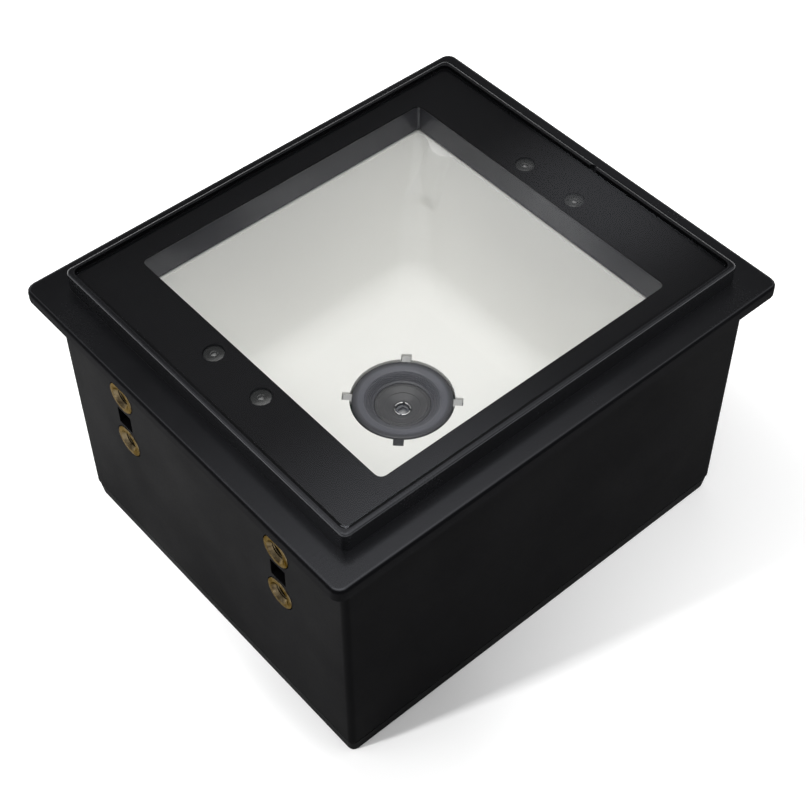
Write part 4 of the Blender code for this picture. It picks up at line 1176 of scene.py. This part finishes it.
@dataclass
class LensStack:
    """Camera in the tunnel's floor: dished ring with ridges and lugs, barrel, retainer and front lens."""

    top: float = 21.15
    ring_radius: float = 7.6
    ring_height: float = 1.75
    crest: Profile = (
        (7.56, 0.14), (7.5, 0.06), (7.4, 0.01), (7.2, 0.0),
        (6.9, 0.02), (6.5, 0.06), (6.1, 0.12), (5.9, 0.16),
    )
    dish_radius: float = 5.7
    dish_depth: float = 0.26
    ridge_count: int = 5
    ridge_edge: float = 0.03
    bore_radius: float = 4.26
    bore_drop: float = 1.2
    lug_reach: float = 8.95
    lug_width: float = 1.5
    lug_thickness: float = 0.8
    lug_drop: float = 0.22
    lug_sink: float = 0.3
    lug_bevel: float = 0.14
    barrel_radius: float = 4.2
    barrel_length: float = 5.4
    barrel_foot: float = 0.2
    barrel_edge: float = 0.1
    hood_radius: float = 3.75
    hood_size: tuple[float, float] = (0.12, 0.1)
    cone: Profile = ((2.75, 0.42), (2.7, 0.5), (2.6, 0.52))
    seat_width: float = 0.3
    seat_step: float = 0.5
    lens_radius: float = 1.1
    lens_drop: float = 2.2
    lens_thickness: float = 1.2
    lens_rise: float = 0.35
    lens_flat: float = 0.4
    path_radius: float = 0.77
    retainer_gap: float = 0.1
    retainer_wire: float = 0.11
    retainer_arcs: int = 4
    arc_span: float = 72.0
    arc_start: float = 0.5
    segments: int = 128
    lens_segments: int = 64

    def ring_profile(self) -> Profile:
        """Return the outline of the ring: rounded crest, then fine steps down to the barrel."""
        bottom = self.top - self.ring_height
        outline = [(self.bore_radius, bottom), (self.ring_radius, bottom)]
        outline += [(self.ring_radius, self.top - self.crest[0][1] - 0.12)]
        outline += [(radius, self.top - drop) for radius, drop in self.crest]
        dish = self.top - self.dish_depth
        soft = 2 * self.ridge_edge
        outline += [(self.dish_radius + soft, dish + soft), (self.dish_radius, dish)]
        tread = (self.dish_radius - self.bore_radius) / (self.ridge_count + 1)
        drop = (self.bore_drop - self.dish_depth) / (self.ridge_count + 1)
        radius, height = self.dish_radius, dish
        for _ in range(self.ridge_count):
            outline += [(radius - self.ridge_edge, height - drop + 0.04), (radius - soft, height - drop)]
            radius, height = radius - tread, height - drop
            outline += [(radius + self.ridge_edge, height + 0.02), (radius, height)]
        outline.append((self.bore_radius, self.top - self.bore_drop))
        return outline

    def barrel_profile(self) -> Profile:
        """Return the outline of the barrel with its hooded front and lens seat."""
        top = self.top - self.bore_drop
        bottom = top - self.barrel_length
        foot, edge = self.barrel_foot, self.barrel_edge
        outline = [(self.path_radius, bottom), (self.barrel_radius - foot, bottom)]
        outline.append((self.barrel_radius, bottom + foot))
        outline += arc((self.barrel_radius - edge, top - edge), (edge, edge), (0.0, 90.0), 5)
        outline += arc((self.hood_radius, top), self.hood_size, (0.0, 180.0), 9)
        outline += [(radius, top - drop) for radius, drop in self.cone]
        seat, seat_z = self.lens_radius + self.seat_width, self.top - self.lens_drop
        outline += [(seat + self.seat_step, seat_z + 0.02), (seat + self.seat_step - 0.04, seat_z)]
        floor = seat_z - self.lens_thickness - 0.3
        outline += [(seat, seat_z), (seat, floor), (self.path_radius, floor)]
        return outline

    def lens_profile(self) -> Profile:
        """Return the outline of the domed front lens."""
        top = self.top - self.lens_drop
        bottom = top - self.lens_thickness
        outline = [(self.lens_flat, bottom), (self.lens_radius, bottom)]
        dome = (self.lens_radius, self.lens_rise)
        outline += arc((0.0, top - self.lens_rise), dome, (0.0, 90.0 * 12 / 13), 13)
        return outline

    def retainer(self) -> bpy.types.Object:
        """Spin the arcs of the notched ring that holds the front lens.

        Returns:
            The ring, as one object.
        """
        Bench.clear()
        radius, seat = self.lens_radius + self.retainer_gap, self.top - self.lens_drop
        bpy.ops.mesh.primitive_circle_add(vertices=12, radius=self.retainer_wire * MM, fill_type="NGON")
        made = bpy.context.active_object
        made.name = made.data.name = "lens_retainer"
        upright = Matrix.Translation((radius * MM, 0.0, seat * MM)) @ Matrix.Rotation(math.pi / 2, 4, "X")
        made.data.transform(upright)
        bpy.ops.object.mode_set(mode="EDIT")
        bpy.ops.mesh.select_all(action="SELECT")
        span = math.radians(self.arc_span)
        bpy.ops.mesh.spin(steps=14, angle=span, center=(0.0, 0.0, 0.0), axis=(0.0, 0.0, 1.0))
        Bench.seal()
        copies = [Bench.copy(made, f"retainer_arc_{number}") for number in range(1, self.retainer_arcs)]
        pieces = [made, *copies]
        for number, piece in enumerate(pieces):
            turn = 2 * math.pi / self.retainer_arcs * number + self.arc_start
            piece.data.transform(Matrix.Rotation(turn, 4, "Z"))
        return Bench.join(made, pieces)

    def lug(self, number: int) -> bpy.types.Object:
        """Model one rounded lug on its diagonal.

        Args:
            number: Place of the lug, from 0 to 3.

        Returns:
            The lug.
        """
        Bench.clear()
        inner = self.ring_radius - self.lug_sink
        size = ((self.lug_reach - inner) * MM, self.lug_width * MM, self.lug_thickness * MM)
        bpy.ops.mesh.primitive_cube_add(size=1.0)
        made = bpy.context.active_object
        bpy.ops.object.mode_set(mode="EDIT")
        bpy.ops.mesh.select_all(action="SELECT")
        bpy.ops.transform.resize(value=size, center_override=(0.0, 0.0, 0.0))
        bpy.ops.mesh.bevel(offset=self.lug_bevel * MM, segments=3, affect="EDGES")
        bpy.ops.object.mode_set(mode="OBJECT")
        height = self.top - self.lug_drop - self.lug_thickness / 2
        middle = Vector(((self.lug_reach + inner) / 2, 0.0, height)) * MM
        turn = Matrix.Rotation(math.pi / 4 + math.pi / 2 * number, 4, "Z")
        made.data.transform(turn @ Matrix.Translation(middle))
        made.name = made.data.name = f"camera_lug_{number + 1}"
        return made

    def ring(self) -> int:
        """Turn the ring with its near lug in the ring's grey, and place the three other lugs as pieces in a
        pale grey: painted light, as all four are one dark moulding.

        Returns:
            The number of pieces.
        """
        made = Bench.turn("dished_ring", self.ring_profile(), self.segments)
        lugs = [self.lug(number) for number in range(4)]
        made = Bench.join(made, [made, lugs.pop(2)])
        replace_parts(Bench.dress(made, Palette.GREY), "lens_bezel")
        for lug in lugs:
            # Painted light: these three lugs get a pale grey.
            Bench.dress(lug, Palette.CATCH)
        return 1 + len(lugs)

    def build(self) -> int:
        """Model the whole stack.

        Returns:
            The number of pieces.
        """
        count = self.ring()
        barrel = Bench.turn("camera_barrel", self.barrel_profile(), self.segments)
        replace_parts(Bench.dress(barrel, Palette.BARREL), "lens_barrel")
        retainer = Bench.dress(self.retainer(), Palette.RETAINER, 60.0)
        lens = Bench.turn("front_dome", self.lens_profile(), self.lens_segments, closed=False)
        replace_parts(Bench.dress(lens, Palette.LENS, 40.0), "front_lens")
        return count + len((barrel, retainer, lens))


@dataclass
class SensorDomes:
    """Four smoked windows in the round holes of the print, each with a small dome in its middle."""

    place_x: float = 28.15
    place_y: float = 5.05
    radius: float = 1.46
    bottom: float = 42.5
    foot: float = 0.1
    face: float = 47.22
    edge: float = 0.12
    dome_radius: float = 0.55
    dome_rise: float = 0.2
    segments: int = 64

    def profile(self) -> Profile:
        """Return the outline of one window with its dome."""
        outline = [(self.radius - self.foot, self.bottom), (self.radius, self.bottom + self.foot)]
        corner = (self.radius - self.edge, self.face - self.edge)
        outline += arc(corner, (self.edge, self.edge), (0.0, 90.0), 5)
        outline += arc((0.0, self.face), (self.dome_radius, self.dome_rise), (7.5, 82.5), 11)
        return outline

    def build(self) -> int:
        """Model one dome and place its copies.

        Returns:
            The number of domes.
        """
        source = Bench.turn("dome_source", self.profile(), self.segments, closed=False)
        number = 0
        for sign_x in (-1, 1):
            for sign_y in (-1, 1):
                number += 1
                made = Bench.copy(source, f"sensor_dome_{number}")
                Bench.place(made, Axis.UP, (sign_x * self.place_x, sign_y * self.place_y, 0.0))
                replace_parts(Bench.dress(made, Palette.RESIN, 40.0), f"sensor_lamp_{number}")
        bpy.data.objects.remove(source)
        return number


# Studio


@dataclass(frozen=True)
class CapZone:
    """Lit zone of the wide light: its strength, its four sides and how softly they fade."""

    level: float
    left: float
    right: float
    front: float
    back: float
    fade: float


@dataclass
class Studio:
    """Pale floor, a wide soft light above, a tall strip on the left and a dim room."""

    floor_reach: float = 6000.0
    floor_colour: Colour = (0.72, 0.72, 0.72)
    # Colours of the light the floor gives back: painted shade towards the front, brighter at the back.
    bounce_painted_shade: Colour = (0.1, 0.1, 0.1)
    floor_bright: Colour = (0.7, 0.7, 0.7)
    floor_drop: float = 0.03
    floor_fade: tuple[float, float] = (-70.0, 30.0)
    # Glow drawn round the reader's front corner: how the shadow fades is painted.
    glow_corner: tuple[float, float] = (-36.0, -31.0)
    glow: Profile = (
        (0, 0.04), (15, 0.06), (24, 0.18), (37, 0.3), (51, 0.4),
        (65, 0.44), (80, 0.43), (95, 0.5), (115, 0.95),
    )
    # Glow on the reader's left: painted light over the shade there.
    left_painted_light: float = 0.5
    left_painted_light_fade: tuple[float, float] = (-48.0, -36.6)
    room: float = 0.06
    cap_height: float = 700.0
    cap_size: tuple[float, float] = (2600.0, 2600.0)
    cap_place: tuple[float, float] = (0.0, -100.0)
    cap_zones: tuple[CapZone, ...] = (
        CapZone(1.1, -420.0, 190.0, -560.0, 220.0, 120.0),
        CapZone(1.25, -480.0, 385.0, -640.0, 375.0, 80.0),
        CapZone(0.12, -600.0, 540.0, -760.0, 560.0, 120.0),
        CapZone(2.8, -740.0, -380.0, 60.0, 640.0, 90.0),
        CapZone(1.3, 420.0, 720.0, -760.0, -160.0, 90.0),
        CapZone(0.6, 530.0, 650.0, 400.0, 520.0, 50.0),
    )
    strip_distance: float = 900.0
    strip_height: float = 420.0
    strip_width: float = 75.0
    strip_length: float = 420.0
    strip_power: float = 12.0
    strip_side: tuple[float, float] = (-0.972, 0.235)

    def build(self) -> None:
        """Build the floor, the lights and the world."""
        self.floor()
        self.cap()
        self.strip()
        self.world()

    def floor(self) -> None:
        """Lay the floor: pale where it is seen or mirrored, and darker in the light that it gives back,
        darkest towards the reader's front, as painted shade in that bounce light.

        Where it is seen, a glow of its own grows with the distance from the reader's front corner,
        up to white. The glow draws how the shadow fades, and the strip light casts the shadow.
        A second glow on the reader's left is painted light that clears the shade there.
        """
        Bench.clear()
        height = -self.floor_drop * MM
        bpy.ops.mesh.primitive_plane_add(size=2 * self.floor_reach * MM, location=(0.0, 0.0, height))
        plane = bpy.context.active_object
        plane.name = "floor"
        material = bpy.data.materials.new("pale_floor")
        graph = Graph(material)
        point = graph.add("ShaderNodeTexCoord").outputs["Object"]
        parts = graph.add("ShaderNodeSeparateXYZ", {0: point})
        # Light given back darkens towards the reader's front: painted shade.
        depth = graph.math("ADD", parts.outputs[0], parts.outputs[1])
        shade = graph.spread(depth, tuple(end * MM for end in self.floor_fade), (0.0, 1.0), True)
        given_back = graph.mix(shade, self.bounce_painted_shade, self.floor_bright)
        seen = graph.background_rays()
        colour = graph.mix(seen, given_back, self.floor_colour)
        matt = graph.add("ShaderNodeBsdfDiffuse", {"Color": colour})
        corner = (self.glow_corner[0] * MM, self.glow_corner[1] * MM, 0.0)
        away = graph.add("ShaderNodeVectorMath", {0: point, 1: corner}, operation="DISTANCE")
        lift = graph.ramp(away.outputs["Value"], self.glow, self.glow[-1][0])
        # Painted light on the reader's left side.
        side = tuple(end * MM for end in self.left_painted_light_fade)
        left_painted_light_share = graph.spread(parts.outputs[0], side, (self.left_painted_light, 0.0), True)
        strength = graph.math("MULTIPLY", seen, graph.math("ADD", lift, left_painted_light_share))
        glow = graph.add("ShaderNodeEmission", {"Strength": strength})
        both = graph.add("ShaderNodeAddShader", {0: matt.outputs[0], 1: glow.outputs[0]})
        graph.show(both.outputs[0])
        plane.data.materials.append(material)

    def cap(self) -> None:
        """Hang the wide light above the reader; its zones fade into each other and into the room."""
        Bench.clear()
        bpy.ops.mesh.primitive_plane_add(size=1.0)
        panel = bpy.context.active_object
        panel.name = "cap_light"
        place = Vector((*self.cap_place, self.cap_height)) * MM
        panel.data.transform(Matrix.Diagonal((self.cap_size[0] * MM, self.cap_size[1] * MM, 1.0, 1.0)))
        panel.data.transform(Matrix.Translation(place))
        material = bpy.data.materials.new("cap_glow")
        graph = Graph(material)
        parts = graph.add("ShaderNodeSeparateXYZ", {0: graph.add("ShaderNodeTexCoord").outputs["Object"]})
        strength = self.room
        for zone in self.cap_zones:
            share = zone.level
            sides = ((parts.outputs[0], zone.left, zone.right), (parts.outputs[1], zone.front, zone.back))
            for output, low, high in sides:
                start = ((low - zone.fade) * MM, (low + zone.fade) * MM)
                end = ((high - zone.fade) * MM, (high + zone.fade) * MM)
                rising = graph.spread(output, start, (0.0, 1.0), True)
                falling = graph.spread(output, end, (1.0, 0.0), True)
                share = graph.math("MULTIPLY", share, graph.math("MULTIPLY", rising, falling))
            strength = graph.math("ADD", strength, share)
        graph.show(graph.add("ShaderNodeEmission", {"Strength": strength}).outputs[0])
        panel.data.materials.append(material)
        panel.visible_camera = False

    def strip(self) -> None:
        """Stand the narrow light on the left, which lights the floor alone and casts the shadow."""
        lamp = bpy.data.lights.new("strip_light", "AREA")
        lamp.shape = "RECTANGLE"
        lamp.size = self.strip_width * MM
        lamp.size_y = self.strip_length * MM
        lamp.energy = self.strip_power
        stand = bpy.data.objects.new("strip_light", lamp)
        away = Vector((*self.strip_side, 0.0)).normalized()
        stand.location = (away * self.strip_distance + Vector((0.0, 0.0, self.strip_height))) * MM
        stand.rotation_euler = (-stand.location).to_track_quat("-Z", "Y").to_euler()
        bpy.context.scene.collection.objects.link(stand)
        lit = bpy.data.collections.new("lit_by_strip")
        lit.objects.link(bpy.data.objects["floor"])
        stand.light_linking.receiver_collection = lit

    def world(self) -> None:
        """Light the room dimly, and show it white to the camera, in mirrors and through glass."""
        world = bpy.data.worlds.new("room")
        bpy.context.scene.world = world
        graph = Graph(world)
        strength = graph.spread(graph.background_rays(), (0.0, 1.0), (self.room, 1.0))
        glow = graph.add("ShaderNodeBackground", {"Color": FULL, "Strength": strength})
        graph.show(glow.outputs[0], "ShaderNodeOutputWorld")


@dataclass
class PhotoCamera:
    """Camera at the viewing angle of the photograph."""

    azimuth: float = -40.595
    elevation: float = 49.221
    roll: float = -0.466
    distance: float = 250.585
    focal: float = 75.26
    aim: tuple[float, float, float] = (-0.023, -0.147, 20.4)
    sensor_width: float = 36.0
    clip: tuple[float, float] = (0.005, 60.0)

    def build(self) -> None:
        """Make the camera and set it as the scene's."""
        turn, rise = math.radians(self.azimuth), math.radians(self.elevation)
        back = Vector((math.sin(turn) * math.cos(rise), -math.cos(turn) * math.cos(rise), math.sin(rise)))
        right = (-back).cross(Vector((0.0, 0.0, 1.0))).normalized()
        up = right.cross(-back)
        lean = math.radians(self.roll)
        across = math.cos(lean) * right + math.sin(lean) * up
        above = -math.sin(lean) * right + math.cos(lean) * up
        data = bpy.data.cameras.new("photo_camera")
        data.sensor_width = self.sensor_width
        data.lens = self.focal
        data.clip_start, data.clip_end = self.clip
        camera = bpy.data.objects.new("photo_camera", data)
        frame_axes = Matrix((across, above, back)).transposed().to_4x4()
        camera.matrix_world = Matrix.Translation((Vector(self.aim) + back * self.distance) * MM) @ frame_axes
        bpy.context.scene.collection.objects.link(camera)
        bpy.context.scene.camera = camera


PACKED = (
    PackedNodes(Palette.BEZEL, ("front_bezel",)),
    PackedNodes(Palette.BODY, ("housing_shell", "bottom_cover")),
    PackedNodes(Palette.GLASS, ("cover_glass",)),
    PackedNodes(Palette.PRINT, ("glass_mask",)),
    PackedNodes(Palette.WHITE, ("light_reflector",)),
    PackedNodes(Palette.GREY, ("lens_bezel", "lens_holder", "lens_barrel")),
    PackedNodes(Palette.LENS, ("front_lens",)),
    PackedNodes(Palette.BOARD, ("camera_board", "main_board", *numbered("sensor_board", 2))),
    PackedNodes(Palette.CHIP, ("image_sensor", "processor", "board_link", "buzzer", "interface_socket")),
    PackedNodes(Palette.LAMP, numbered("light_led", 4)),
    PackedNodes(Palette.RESIN, numbered("sensor_lamp", 4)),
    PackedNodes(Palette.GOLD, numbered("socket_contact", 8)),
    PackedNodes(Palette.STEEL, numbered("case_screw", 4) + numbered("board_screw", 4)),
    PackedNodes(Palette.STEEL, numbered("reflector_screw", 4) + numbered("camera_screw", 2)),
)


def main() -> None:
    """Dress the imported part, add the fine pieces and set up the studio."""
    logging.basicConfig(level=logging.INFO, format="%(name)s: %(message)s")
    for group in PACKED:
        LOG.info("%s on %d nodes", group.finish.value.name, group.dress())
    LOG.info("inserts: %d", ThreadedInserts().build())
    LOG.info("light tunnel: %d", LightTunnel().build())
    LOG.info("camera pieces: %d", LensStack().build())
    LOG.info("sensor domes: %d", SensorDomes().build())
    Studio().build()
    PhotoCamera().build()
    bpy.context.scene.view_settings.view_transform = "Standard"
    Bench.clear()


if __name__ == "__main__":
    main()
